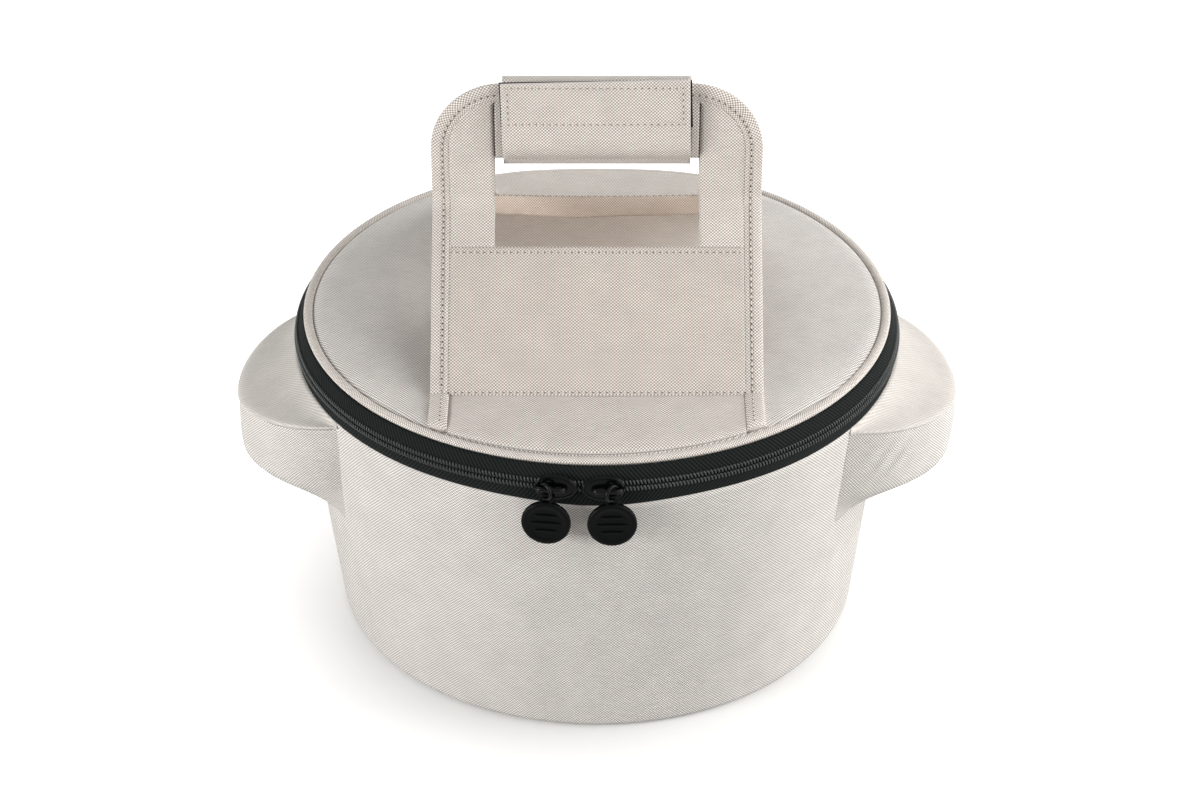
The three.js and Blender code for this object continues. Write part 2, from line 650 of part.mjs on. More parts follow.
// The wrap is slimmer low down, where only the pads lie inside it
const lowFront = padFront - WRAP_EASE;
const lowBack = -lowFront;
const rearTaper = rearTop - TOP_BAND - 3 * WRAP_EASE;
add('grip_wrap', slabFromSide([
  [lowFront, wrapLow],
  [lowFront, wrapLow - 2 * WRAP_T],
  [-WRAP_T, rearLow - WRAP_T],
  [lowBack + WRAP_T, rearLow - WRAP_T],
  [lowBack + WRAP_T, rearTaper - WRAP_TAPER],
  [wrapBack + WRAP_T, rearTaper],
  [wrapBack + WRAP_T, rearTop + WRAP_T],
  [lowBack + WRAP_T, rearTop + WRAP_T],
  [WRAP_EASE + WRAP_T, wrapTop + WRAP_T],
  [wrapFront - WRAP_T, wrapTop + WRAP_T],
  [wrapFront - WRAP_T, hookLow],
  [wrapFront, hookLow],
  [wrapFront, wrapTop],
  [WRAP_EASE, wrapTop],
  [lowBack, rearTop],
  [wrapBack, rearTop],
  [wrapBack, rearTaper],
  [lowBack, rearTaper - WRAP_TAPER],
  [lowBack, rearLow],
  [0, rearLow],
], WRAP_W / 2), canvas);

const loopFront = wrapFront - WRAP_T - GAP - HOOK_T;
add('loop_tape', slabFromSide([
  [loopFront, hookLow],
  [loopFront + HOOK_T, hookLow],
  [loopFront + HOOK_T, wrapTop],
  [loopFront, wrapTop],
], WRAP_W / 2 - LOOP_IN), hookTape);

const hookFront = loopFront - GAP - HOOK_T;
const flapTop = wrapTop + WRAP_RISE;
add('hook_tape', slabFromSide([
  [hookFront, hookLow],
  [hookFront + HOOK_T, hookLow],
  [hookFront + HOOK_T, flapTop],
  [hookFront, flapTop],
], WRAP_W / 2 + HOOK_SHOWS), hookTape);

const flapFront = hookFront - GAP - WRAP_T;
const flapLow = wrapLow - WRAP_T;
const flapRoot = lowFront - GAP - WRAP_T;
add('grip_flap', slabFromSide([
  [flapRoot, flapLow],
  [flapRoot + WRAP_T, flapLow],
  [flapFront + WRAP_T, hookLow - WRAP_TAPER],
  [flapFront + WRAP_T, flapTop],
  [flapFront, flapTop],
  [flapFront, hookLow - WRAP_TAPER],
], WRAP_W / 2), canvas);

// Sliders, drawn flat with x along the zip, y outwards and z up the band
const zipLean = Math.atan2(ZIP_INSET, ZIP_H);
const sliderSag = zipR(ZIP_MID_Z) * (1 - Math.cos(SLIDER_L / 2 / zipR(ZIP_MID_Z)));
const plateOut = COIL_PROUD + SLIDER_PLAY;
const plateIn = -Math.max(COIL_DEPTH - COIL_PROUD, TAPE) - SLIDER_PLAY - sliderSag;
const ringReach = RING_R * Math.cos(rad(RING_TWIST)) + RING_WIRE;
const bailOut = plateOut + SLIDER_T + ringReach + GAP;
const ringSpread = RING_R * Math.sin(rad(RING_TWIST)) + RING_WIRE;
const ringAlong = SLIDER_L / 2 - LEG_T - GAP - ringSpread;

function sliderBody(outer) {
  const half = SLIDER_L / 2;
  const tall = SLIDER_H / 2;
  const backTall = Math.min(tall, ZIP_H / 2 - BINDING_H - 6 * GAP);
  const lip = tall - SLIDER_LIP;
  const post = COIL_GAP / 2 - GAP - LAP;
  const bail = BAIL_T / 2;
  const barOut = bailOut + bail;
  const legs = [outer * (half - LEG_T / 2), -outer * (half - BAIL_IN)];
  const pieces = [
    box(-half, plateOut, -tall, half, plateOut + SLIDER_T, tall),
    box(-half, plateIn - SLIDER_T, -backTall, half, plateIn, backTall),
    box(SLIDER_POST - half, plateIn - LAP, -post, half - SLIDER_POST, plateOut + LAP, post),
    box(-half, GAP, lip, half, plateOut + LAP, tall),
    box(-half, GAP, -tall, half, plateOut + LAP, -lip),
    box(Math.min(...legs), bailOut - bail, -bail, Math.max(...legs), barOut, bail),
  ];
  for (const leg of legs) {
    const near = leg - LEG_T / 2;
    pieces.push(box(near, plateOut + SLIDER_T - LAP, -bail, near + LEG_T, barOut, bail));
  }
  return join(pieces);
}

// Ring round the bail bar, twisted from the plane across the zip
function pullRing(outer) {
  const geometry = new THREE.TorusGeometry(RING_R, RING_WIRE, 6, 16);
  geometry.rotateX(Math.PI / 2);
  geometry.rotateZ(Math.PI / 2 + outer * rad(RING_TWIST));
  return geometry;
}

// Disc with an eyelet above it and a raised edge and grip ribs on its face
function pullDisc() {
  const eyeletHalf = EYELET_R + EYELET_W;
  const shape = new THREE.Shape();
  const meetAngle = Math.asin(eyeletHalf / DISC_R);
  const steps = 22;
  for (let i = 0; i <= steps; i += 1) {
    const angle = Math.PI / 2 + meetAngle + (2 * Math.PI - 2 * meetAngle) * i / steps;
    const x = DISC_R * Math.cos(angle);
    const z = -DISC_HANG + DISC_R * Math.sin(angle);
    if (i === 0) shape.moveTo(x, z);
    else shape.lineTo(x, z);
  }
  for (let i = 0; i <= 6; i += 1) {
    const angle = Math.PI * i / 6;
    shape.lineTo(eyeletHalf * Math.cos(angle), eyeletHalf * Math.sin(angle));
  }
  const hole = new THREE.Path();
  hole.absarc(0, 0, EYELET_R, 0, 2 * Math.PI, true);
  shape.holes.push(hole);
  const thin = DISC_T / 2;
  const blank = new THREE.ExtrudeGeometry(shape, {
    depth: thin, bevelEnabled: false, curveSegments: 6,
  });
  blank.rotateX(Math.PI / 2);
  blank.translate(0, thin / 2, 0);
  const pieces = [blank];
  for (const step of [-1, 0, 1]) {
    const z = -DISC_HANG + step * DISC_R * 0.42 - RIB_W / 2;
    const half = DISC_R * (0.7 - 0.15 * Math.abs(step));
    pieces.push(box(-half, -DISC_T / 2, z, half, LAP - thin / 2, z + RIB_W));
  }
  return join(pieces);
}

// Set a drawing on the zip at a bearing, with its upright line leaned or plumb
function onZip(geometry, bearing, leaned) {
  const copy = geometry.clone();
  copy.rotateZ(Math.PI);
  copy.rotateX(leaned ? -zipLean : 0);
  copy.translate(0, -zipR(ZIP_MID_Z), ZIP_MID_Z);
  copy.rotateZ(rad(bearing));
  return copy;
}

const halfApart = (SLIDER_L + SLIDER_APART) / 2 / zipR(ZIP_MID_Z) * 180 / Math.PI;
const ringDrop = (RING_R - RING_WIRE - BAIL_T / 2) / 2;
for (const [word, side] of [['left', -1], ['right', 1]]) {
  const bearing = SLIDER_MEET + side * halfApart;
  const barUp = bailOut * Math.sin(zipLean);
  const ringPlace = [-side * ringAlong, bailOut * Math.cos(zipLean), barUp - ringDrop];
  const eyelet = ringPlace[2] - RING_R - (EYELET_R - RING_WIRE) * 0.4;
  add(`${word}_slider`, onZip(sliderBody(-side), bearing, true), blackMetal);
  const ringShape = pullRing(-side);
  ringShape.translate(...ringPlace);
  add(`${word}_pull_ring`, onZip(ringShape, bearing, false), blackMetal);
  const disc = pullDisc();
  disc.rotateZ(Math.PI);
  disc.translate(ringPlace[0], ringPlace[1], eyelet);
  add(`${word}_pull_disc`, onZip(disc, bearing, false), rubber);
}

export default group;
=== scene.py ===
"""Insulated casserole carrier of two-tone canvas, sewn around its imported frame."""

import json
import math

import bmesh
import bpy
import numpy as np
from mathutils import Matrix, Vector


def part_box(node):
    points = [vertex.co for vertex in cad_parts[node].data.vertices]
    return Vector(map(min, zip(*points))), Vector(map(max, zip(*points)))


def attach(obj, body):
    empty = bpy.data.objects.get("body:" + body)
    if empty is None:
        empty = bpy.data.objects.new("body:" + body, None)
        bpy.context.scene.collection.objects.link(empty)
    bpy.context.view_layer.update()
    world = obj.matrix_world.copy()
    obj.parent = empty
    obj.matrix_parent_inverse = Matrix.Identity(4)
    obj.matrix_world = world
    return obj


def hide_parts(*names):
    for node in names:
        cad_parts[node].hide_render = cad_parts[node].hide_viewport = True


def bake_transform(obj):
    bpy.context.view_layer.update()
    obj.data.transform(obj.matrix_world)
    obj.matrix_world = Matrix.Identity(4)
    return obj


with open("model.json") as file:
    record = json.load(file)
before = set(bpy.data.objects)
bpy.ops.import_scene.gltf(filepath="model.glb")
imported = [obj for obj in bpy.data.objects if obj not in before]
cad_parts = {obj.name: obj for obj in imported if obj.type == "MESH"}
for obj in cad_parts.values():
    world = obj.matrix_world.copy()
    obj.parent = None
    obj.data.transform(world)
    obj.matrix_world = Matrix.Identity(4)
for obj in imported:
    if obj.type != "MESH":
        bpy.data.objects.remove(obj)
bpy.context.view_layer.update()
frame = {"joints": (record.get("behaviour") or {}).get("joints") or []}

bl_info = {
    "name": "Casserole carrier",
    "version": (1, 0, 0),
    "blender": (4, 5, 0),
    "location": "View3D > Sidebar > Carrier",
    "description": "Sews a canvas casserole carrier around its packed frame",
    "category": "Add Mesh",
}

MM = 0.001
WELD = 1e-6
TURN = 2 * math.pi


def box_mm(node):
    """Lowest and highest corner of a CAD node, in millimetres."""
    return [np.array(corner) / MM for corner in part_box(node)]


# Sizes taken from the frame, in millimetres
LID_SEAM_OUT = 1.2
MOUTH_R = box_mm("side_wall")[1][0]
WALL_H = box_mm("side_wall")[1][2]
SPLIT_R = box_mm("base_panel")[1][0]
LID_R = box_mm("lid_top_panel")[1][0] + LID_SEAM_OUT
LID_TOP = box_mm("lid_top_panel")[1][2]
LID_UNDER = box_mm("lid_lining")[0][2]
RIM_LOW, RIM_HIGH = box_mm("lid_rim_band")
ZIP_TOP = box_mm("hinge_panel")[1][2]
HANDLE_W = 2 * box_mm("front_handle_edge")[1][0]
HANDLE_TOP = box_mm("front_handle_edge")[1][2]
REAR_TOP = box_mm("rear_handle_edge")[1][2]
WRAP_LOW, WRAP_HIGH = box_mm("grip_wrap")
FLAP_LOW, FLAP_HIGH = box_mm("grip_flap")
HOOK_LOW, HOOK_HIGH = box_mm("hook_tape")
LOOP_LOW, LOOP_HIGH = box_mm("loop_tape")

# Body, in millimetres and degrees, like all sizes down to the stage
BASE_R = 126.5
BASE_CURVE = 4.0
CANVAS = 1.2
STACK = 7.8
LINING = 1.0
CLEAR = 0.3
BINDING_INSET = 0.6
MOUTH_DIP = 2.2
MOUTH_DIP_HALF = 32.0
MOUTH_DIP_DEEP = 30.0

# Zip
ZIP_INSET = 3.3
ZIP_BULGE = 2.0
ZIP_END = 154.0
TAPE = 0.9
SLIT = 0.4
COIL_PITCH = 1.6
COIL_RISE = 0.95
COIL_DEPTH = 0.5
COIL_WIRE = 0.42
COIL_PROUD = 0.15

# Ear pockets
EAR_OUT = 30.8
EAR_HALF = 22.2
EAR_BEARING = 78.0
EAR_SHAPE = 1.76
EAR_FRONT = 1.58
EAR_DROP = 1.7
EAR_SLOPE = 0.345
EAR_H = 53.4
EAR_SIDE = 0.74
EAR_SOFT = 0.04
EAR_HOLD = 0.7
EAR_WALL = 2.2
EAR_LINING_IN = EAR_WALL + 1.1
EAR_SAG = 1.2
ROOT_SINK = 1.5
LEFT_LOWER = 9.0
LEFT_PUCKER = 0.15
RIGHT_PUCKER = 1.0
WINDOW_LOW = 9.0
WINDOW_HIGH = 10.0
WINDOW_SIDE = 6.0

# Lid
SHOULDER = 7.0
SHOULDER_DROP = 2.0
REAR_DIP = 3.0
REAR_DIP_HALF = 45.0
REAR_DIP_START = 70.0
REAR_DIP_RUN = 60.0
RIM_GAP = 0.25

# Handles
SEAM_Y = 91.0
SEAM_Z = LID_TOP + 1.8
FLAP_LIFT = 0.9
FLAP_EDGE_LIFT = 1.2
FLAP_SHORT = 0.4
HANDLE_LEAN = math.radians(58.0)
UPRIGHT_Y = 5.5
HANDLE_BEND = 9.0
HANDLE_CORNER = 33.0
HANDLE_T = 2.4
HANDLE_FLARE = 0.018
PANEL_LEN = 76.3
REAR_PANEL_T = 1.3
REAR_PANEL_SAG = 1.6
REAR_LOWER = 2.5
HEM_T = 0.8
HEM_FOLD = 0.2
REAR_HEM_W, REAR_HEM_DROP = 4.5, 7.6
FRONT_HEM_W, FRONT_HEM_DROP = 9.0, 1.0
HOLE_W = 93.0
HOLE_CORNER = 1.0
TOP_BAND = 14.0
EDGE_W = 8.6
EDGE_T = 3.2
EDGE_LAP = 0.4
EDGE_STITCH = 5.2
HEM_STITCH = 3.0
SEAM_STITCH = 1.6
GRIP_STITCH = 3.2
THREAD_PROUD = 0.1
FRONT_PAD_LIFT, REAR_PAD_LIFT = 2.0, 4.6
PAD_SWELL = 3.0
PAD_END_DROP = 4.2
HANDLES = (("front", False, HANDLE_TOP), ("rear", True, REAR_TOP))

# Grip wrap
WRAP_T = 1.2
WRAP_RAISE = 3.4
WRAP_SLIM = 4.7
FLAP_RAISE = 2.3
FLAP_SKEW = 1.1
FLAP_SHIFT = 0.8
TAPE_SHIFT = 0.7
FASTENER_T = 0.8

# Zip pulls
DISC_R = 11.0
DISC_T = 3.0
DISC_HANG = 12.0
EYELET_R = 2.5
RING_R = 3.5
RING_WIRE = 0.8
SLIDER_L = 18.6
SLIDER_H = 11.6
SLIDER_NOSE = 0.45
PLATE_OUT = 1.9
BRIM_OUT = 2.6
BRIM_IN = 0.9
BRIDGE_OUT = 2.4
BRIDGE_WIRE = 1.15
BRIDGE_POWER = 0.6

# Stage: places in metres, the tilt in radians, lens and sensor in millimetres
FLOOR_R = 6.0
CAMERA_PLACE = (0.0014, -1.2312, 0.8799)
CAMERA_TILT = 0.564
CAMERA_LENS = 90.0
CAMERA_SENSOR = 36.0
SOFTBOX_AWAY = 1.4
SOFTBOX_AIM = 0.12

# Softboxes: setting, bearing and height in degrees, size in metres
SOFTBOXES = (
    ("left", -60, 12, 0.5), ("right", 60, 27, 1.3), ("side", 96, 25, 1.3),
    ("back", 180, 28, 1.2), ("front", 0, 40, 0.6),
)


def to_linear(colour):
    """Linear red, green and blue of an sRGB hex colour."""
    srgb = np.array([int(colour[i:i + 2], 16) for i in (1, 3, 5)]) / 255
    linear = np.where(srgb <= 0.04045, srgb / 12.92, ((srgb + 0.055) / 1.055) ** 2.4)
    return tuple(linear.tolist())


def colour_setting(name, description, colour):
    """Colour that a user may change, from its sRGB hex value."""
    return bpy.props.FloatVectorProperty(
        name=name, description=description, subtype="COLOR", min=0, max=1, default=to_linear(colour))


def length_setting(name, description, size, least=0.0):
    """Length that a user may change, from millimetres."""
    return bpy.props.FloatProperty(
        name=name, description=description, unit="LENGTH", min=least * MM, default=size * MM)


def power_setting(name, description, watts):
    """Power of a softbox that a user may change."""
    return bpy.props.FloatProperty(
        name=name, description=description, unit="POWER", min=0, default=watts)


class CarrierCloth(bpy.types.PropertyGroup):
    """Colours and thread size of the carrier's cloth."""

    warp: colour_setting("Light thread", "Cream thread of the canvas", "#F9F6F2")
    weft: colour_setting("Dark thread", "Taupe thread of the canvas", "#9E968F")
    handle_warp: colour_setting("Handle light thread", "Cream thread of the handles", "#FDF8F2")
    handle_weft: colour_setting("Handle dark thread", "Taupe thread of the handles", "#998D82")
    thread: length_setting("Thread width", "Width of one thread of the canvas", 0.78, 0.2)
    tape: colour_setting("Zip tape", "Colour of the woven zip tape", "#141716")
    lining: colour_setting("Lining", "Colour of the coated lining", "#BEC0C0")


class CarrierSewing(bpy.types.PropertyGroup):
    """Stitches and softness of the sewn pieces."""

    pitch: length_setting("Stitch pitch", "Distance from stitch to stitch", 3.1, 1.0)
    length: length_setting("Stitch length", "Visible length of one stitch", 2.9, 0.5)
    thick: length_setting("Thread thickness", "Thickness of the sewing thread", 0.65, 0.2)
    sag: length_setting("Wall softness", "How far the soft wall waves in and out", 0.7)
    puff: length_setting("Lid padding", "Height of the lid's padded crown", 1.4)


class CarrierStage(bpy.types.PropertyGroup):
    """Light and floor round the carrier."""

    floor: colour_setting("Floor", "Colour of the floor", "#CDCCCA")
    ambient: bpy.props.FloatProperty(
        name="Ambient light", description="Strength of the even light all round",
        min=0, default=0.17)
    left: power_setting("Left softbox", "Power of the low softbox on the left", 15.2)
    right: power_setting("Right softbox", "Power of the softbox on the right", 15.5)
    side: power_setting("Side softbox", "Power of the softbox behind on the right", 14.0)
    back: power_setting("Back softbox", "Power of the softbox behind", 8.0)
    front: power_setting("Front softbox", "Power of the softbox in front", 0.6)


# Mesh building

def patch(grid, uv=None, keep=None):
    """Quads of a grid of points, or of a stack of equal grids.

    Each cell between four neighbouring points is one quad. Unless given, the UV of
    a point is the mean length along the rows and columns up to it.
    """
    stack = grid if grid.ndim == 4 else grid[None]
    index = np.arange(stack[..., 0].size).reshape(stack.shape[:3])
    quads = np.stack([
        index[:, :-1, :-1], index[:, :-1, 1:], index[:, 1:, 1:], index[:, 1:, :-1],
    ], axis=-1)
    quads = quads.reshape(-1, 4) if keep is None else quads[0][keep]
    if uv is None:
        across = np.linalg.norm(np.diff(stack, axis=2), axis=3).mean(axis=(0, 1))
        along = np.linalg.norm(np.diff(stack, axis=1), axis=3).mean(axis=(0, 2))
        u = np.concatenate([[0], np.cumsum(across)])
        v = np.concatenate([[0], np.cumsum(along)])
        uv = np.broadcast_to(np.stack(np.meshgrid(u, v), axis=-1), (*stack.shape[:3], 2))
    return stack.reshape(-1, 3), quads, np.reshape(uv, (-1, 2))


def build(name, patches):
    """Mesh object from patches in millimetres, welded and facing outwards."""
    starts = np.cumsum([0] + [len(points) for points, _, _ in patches[:-1]])
    points = np.concatenate([part[0] for part in patches]) * MM
    quads = np.concatenate([part[1] + start for part, start in zip(patches, starts)])
    uv = np.concatenate([part[2] for part in patches]) * MM
    mesh = bpy.data.meshes.new(name)
    mesh.vertices.add(len(points))
    mesh.vertices.foreach_set("co", points.astype(np.float32).ravel())
    mesh.loops.add(quads.size)
    mesh.loops.foreach_set("vertex_index", quads.astype(np.int32).ravel())
    mesh.polygons.add(len(quads))
    mesh.polygons.foreach_set("loop_start", np.arange(0, quads.size, 4, dtype=np.int32))
    mesh.update(calc_edges=True)
    layer = mesh.uv_layers.new(name="weave")
    layer.data.foreach_set("uv", uv[quads.ravel()].astype(np.float32).ravel())
    work = bmesh.new()
    work.from_mesh(mesh)
    bmesh.ops.remove_doubles(work, verts=work.verts, dist=WELD)
    bmesh.ops.recalc_face_normals(work, faces=work.faces)
    work.to_mesh(mesh)
    work.free()
    mesh.polygons.foreach_set("use_smooth", np.ones(len(mesh.polygons), dtype=bool))
    piece = bpy.data.objects.new(name, mesh)
    bpy.context.scene.collection.objects.link(piece)
    return piece


def finish(piece, material, body, nodes=(), thickness=0.0, backing=None):
    """Gives a piece its cloth thickness, materials and body, and hides the CAD nodes it replaces."""
    if thickness:
        solid = piece.modifiers.new("thickness", "SOLIDIFY")
        solid.thickness = thickness * MM
        solid.offset = 0
        solid.material_offset_rim = 1
        solid.material_offset = 2 if backing else 0
    piece.data.materials.append(bpy.data.materials[material])
    if thickness:
        edge = "folded_canvas_edge" if material in CANVASES else material
        piece.data.materials.append(bpy.data.materials[edge])
    if backing:
        piece.data.materials.append(bpy.data.materials[backing])
    if body:
        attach(piece, body)
    if nodes:
        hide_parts(*nodes)
    return piece


def polar(r, bearing, z):
    """Points at a radius and a bearing in degrees, 0 in front and 90 to the right."""
    angle = np.radians(bearing)
    return np.stack(np.broadcast_arrays(r * np.sin(angle), -r * np.cos(angle), z), axis=-1)


def revolve(profile, bearings):
    """Turns radius and height pairs round the upright axis, one row per pair."""
    return polar(profile[:, None, 0], bearings[None, :], profile[:, None, 1])


def smooth_step(v):
    """0 to 1 with level ends, held outside: v squared times 3 less 2 v."""
    v = np.clip(v, 0, 1)
    return v ** 2 * (3 - 2 * v)


def signed_power(v, power):
    """A power of the size of v, with v's own sign."""
    return np.sign(v) * np.abs(v) ** power


def oval(half_a, half_b, power, count):
    """Closed superellipse: each coordinate is cos or sin to 2 over the power."""
    angle = np.linspace(0, TURN, count + 1)
    a = half_a * signed_power(np.cos(angle), 2 / power)
    b = half_b * signed_power(np.sin(angle), 2 / power)
    shape = np.stack([a, b], axis=-1)
    shape[-1] = shape[0]
    return shape


def rolled(inner, outer, low, high, power, count, bearings):
    """Band round the axis: a superellipse between two radii and two heights, revolved."""
    section = oval((outer - inner) / 2, (high - low) / 2, power, count)
    return revolve(section + [(outer + inner) / 2, (high + low) / 2], bearings)


def capped(grid):
    """Closes both ends of a tube by a fan to the middle of each end ring."""
    middle = grid[:, :-1].mean(axis=1, keepdims=True)
    fans = np.repeat(middle, grid.shape[1], axis=1)
    return np.concatenate([fans[:1], grid, fans[-1:]])


def tube(path, profile, side, up):
    """Carries a closed profile along a path: path plus side and up times the profile."""
    return (path[:, None] + side[:, None] * profile[None, :, :1]
            + up[:, None] * profile[None, :, 1:])


def rows_of(vector, count):
    """One vector repeated as the rows of an array."""
    return np.repeat(np.array([vector], dtype=float), count, axis=0)


def hoop(radius, section, plane, up, count):
    """Closed ring: a section carried round a circle in the plane of two directions."""
    turn = np.linspace(0, TURN, count)[:, None]
    spoke = np.cos(turn) * plane + np.sin(turn) * up
    spoke[-1] = spoke[0]
    return tube(radius * spoke, section, spoke, rows_of(np.cross(plane, up), count))


def unit(vectors):
    """Vectors scaled to length one."""
    return vectors / np.linalg.norm(vectors, axis=-1, keepdims=True)


def wire(path, radius, sides, hint):
    """Round wire along a path: a circle across the path's own direction."""
    ahead = unit(np.gradient(path, axis=0))
    side = unit(np.cross(ahead, hint))
    return tube(path, oval(radius, radius, 2, sides), side, np.cross(side, ahead))


def blob(half, power, rows=24, columns=32):
    """Rounded block: a sphere's coordinates raised to 2 over the power, times half."""
    lat = np.linspace(-math.pi / 2, math.pi / 2, rows)[:, None]
    lon = np.linspace(0, TURN, columns + 1)[None, :]
    waves = np.cos(lat), np.sin(lat), np.cos(lon), np.sin(lon)
    reach, rise, a, b = (signed_power(wave, 2 / power) for wave in waves)
    shape = np.stack(np.broadcast_arrays(reach * a, reach * b, rise), axis=-1) * np.array(half)
    shape[:, -1] = shape[:, 0]
    shape[0], shape[-1] = shape[0].mean(axis=0), shape[-1].mean(axis=0)
    return shape


def smooth_line(corners, count, rounds=3):
    """Corner points rounded by cutting corners at a quarter, then evenly spaced."""
    line = np.array(corners, dtype=float)
    for _ in range(rounds):
        near = 0.75 * line[:-1] + 0.25 * line[1:]
        far = 0.25 * line[:-1] + 0.75 * line[1:]
        cut = np.stack([near, far], axis=1).reshape(-1, line.shape[1])
        line = np.concatenate([line[:1], cut, line[-1:]])
    return resample(line, count)


def run_along(line):
    """Length along a line up to each of its points."""
    return np.concatenate([[0], np.cumsum(np.linalg.norm(np.diff(line, axis=0), axis=1))])


def sampled(values, run, at):
    """Rows of values known along a run, read off at other lengths of it."""
    return np.stack([np.interp(at, run, column) for column in values.T], axis=-1)


def resample(line, count):
    """Evenly spaced points along a line."""
    run = run_along(line)
    return sampled(line, run, np.linspace(0, run[-1], count))


def stitches(seams):
    """Rows of short thread along seams of points and outward normals.

    Each stitch is a fat-bellied tube whose ends dip into the cloth, laid every pitch.
    Its UV runs from 0 to 1 along it.
    """
    sewing = bpy.context.scene.carrier_sewing
    pitch, half, thick = sewing.pitch / MM, sewing.length / MM / 2, sewing.thick / MM / 2
    centres, aheads, ups = [], [], []
    for points, normals in seams:
        run = run_along(points)
        at = np.arange(pitch / 2, run[-1], pitch)
        centres.append(sampled(points, run, at))
        aheads.append(unit(sampled(np.gradient(points, axis=0), run, at)))
        ups.append(unit(sampled(normals, run, at)))
    centre, ahead, up = (np.concatenate(v)[:, None, None] for v in (centres, aheads, ups))
    side = np.cross(ahead, up)
    along = np.linspace(-1, 1, 5)
    belly = np.array([0.8, 0.95, 1.0, 0.95, 0.8])
    dip = -thick * 0.35 * along ** 4
    ring = oval(thick, thick, 2, 6)
    grid = (centre + ahead * (half * along)[None, :, None, None]
            + side * (belly[:, None] * ring[None, :, 0])[None, :, :, None]
            + up * (belly[:, None] * ring[None, :, 1] + dip[:, None])[None, :, :, None])
    ends = np.repeat(grid[:, :, :-1].mean(axis=2, keepdims=True), grid.shape[2], axis=2)
    grid = np.concatenate([ends[:, :1], grid, ends[:, -1:]], axis=1)
    share = np.concatenate([[0], (along + 1) / 2, [1]])[None, :, None, None]
    return patch(grid, uv=np.broadcast_to(share / MM, (*grid.shape[:3], 2)))


# Shapes of the carrier

def wall_r(z):
    """Outer radius of the tapered wall at a height."""
    return BASE_R + (MOUTH_R - BASE_R) * z / WALL_H


def zip_r(z):
    """Outer radius of the zip band, which leans in above the wall with a parabolic belly."""
    share = (z - WALL_H) / (ZIP_TOP - WALL_H)
    return MOUTH_R - ZIP_INSET * share + 4 * ZIP_BULGE * share * (1 - share)


def wall_profile(depth):
    """Radius and height from the base, round its edge and up the taper, at a depth."""
    lean = math.atan2(MOUTH_R - BASE_R, WALL_H)
    centre = wall_r(BASE_CURVE) - BASE_CURVE / math.cos(lean)
    round_r = max(BASE_CURVE - depth, 0.0)
    foot = np.array([wall_r(depth) - depth / math.cos(lean), depth])
    middle = np.array([centre, BASE_CURVE]) if round_r else foot
    angle = np.linspace(-math.pi / 2, -lean, 9)
    curve = middle + round_r * np.stack([np.cos(angle), np.sin(angle)], axis=-1)
    top = np.array([MOUTH_R - depth / math.cos(lean), WALL_H])
    rise = np.linspace(0, 1, 40)[1:, None]
    start = np.array([[SPLIT_R + CLEAR, depth]])
    return np.concatenate([start, curve, curve[-1] + (top - curve[-1]) * rise])


def soft_wall(profile, bearings, sag):
    """Wall turned round the axis, waving in and out by sines of bearing and height."""
    grid = revolve(profile, bearings)
    angle = np.radians(bearings)[None, :]
    share = np.clip(profile[:, 1] / WALL_H, 0, 1)[:, None]
    wave = np.sin(3 * angle + 0.7) + 0.6 * np.sin(5 * angle + 3 * share + 2)
    wave = wave + 0.35 * np.sin(11 * angle - 4 * share)
    swell = sag * np.sin(math.pi * share) ** 0.8 * wave / 2
    outward = polar(1.0, bearings, 0.0)[None]
    return grid + swell[..., None] * outward


def ear_window(profile, bearings):
    """Cells of a wall grid that stay, outside the two windows into the ear pockets."""
    root = WALL_H - EAR_DROP
    height = (profile[:-1, 1] + profile[1:, 1]) / 2
    middle = (bearings[:-1] + bearings[1:]) / 2
    turned = np.abs(np.abs((middle + 180) % 360 - 180) - EAR_BEARING)
    level = (height > root - EAR_H + WINDOW_LOW) & (height < root - WINDOW_HIGH)
    return ~(level[:, None] & (turned < EAR_HALF - WINDOW_SIDE)[None, :])


def ear_outline(side, t):
    """Share of the stand-out across an ear: 1 less t to a power, rounded out behind."""
    front = np.clip(1 - np.abs(t) ** EAR_FRONT, 0, 1)
    rear = np.clip(1 - np.abs(t) ** EAR_SHAPE, 0, 1) ** (1 / EAR_SHAPE)
    return np.where(side * t < 0, front, rear)


def soft_ramp(x):
    """0 below zero and x above it, rounded between by a hyperbola."""
    return (np.hypot(x, EAR_SOFT) + x) / 2


def ear_tuck(v):
    """Share of the stand-out left down the ear: full at first, then tapering to the wall."""
    start, whole = soft_ramp(-EAR_SIDE), soft_ramp(1 - EAR_SIDE)
    return np.clip(1 - (soft_ramp(v - EAR_SIDE) - start) / (whole - start), 0, 1)


def ear_bearing(side, t, v, half):
    """Bearing round an ear, its front root moved: back down the left ear, ahead on the right."""
    front = ((1 - side * t) / 2) ** 3
    back = 0.6 + 5 * v if side < 0 else -1.7 + 0 * v
    return side * (EAR_BEARING + back * front) + t * half


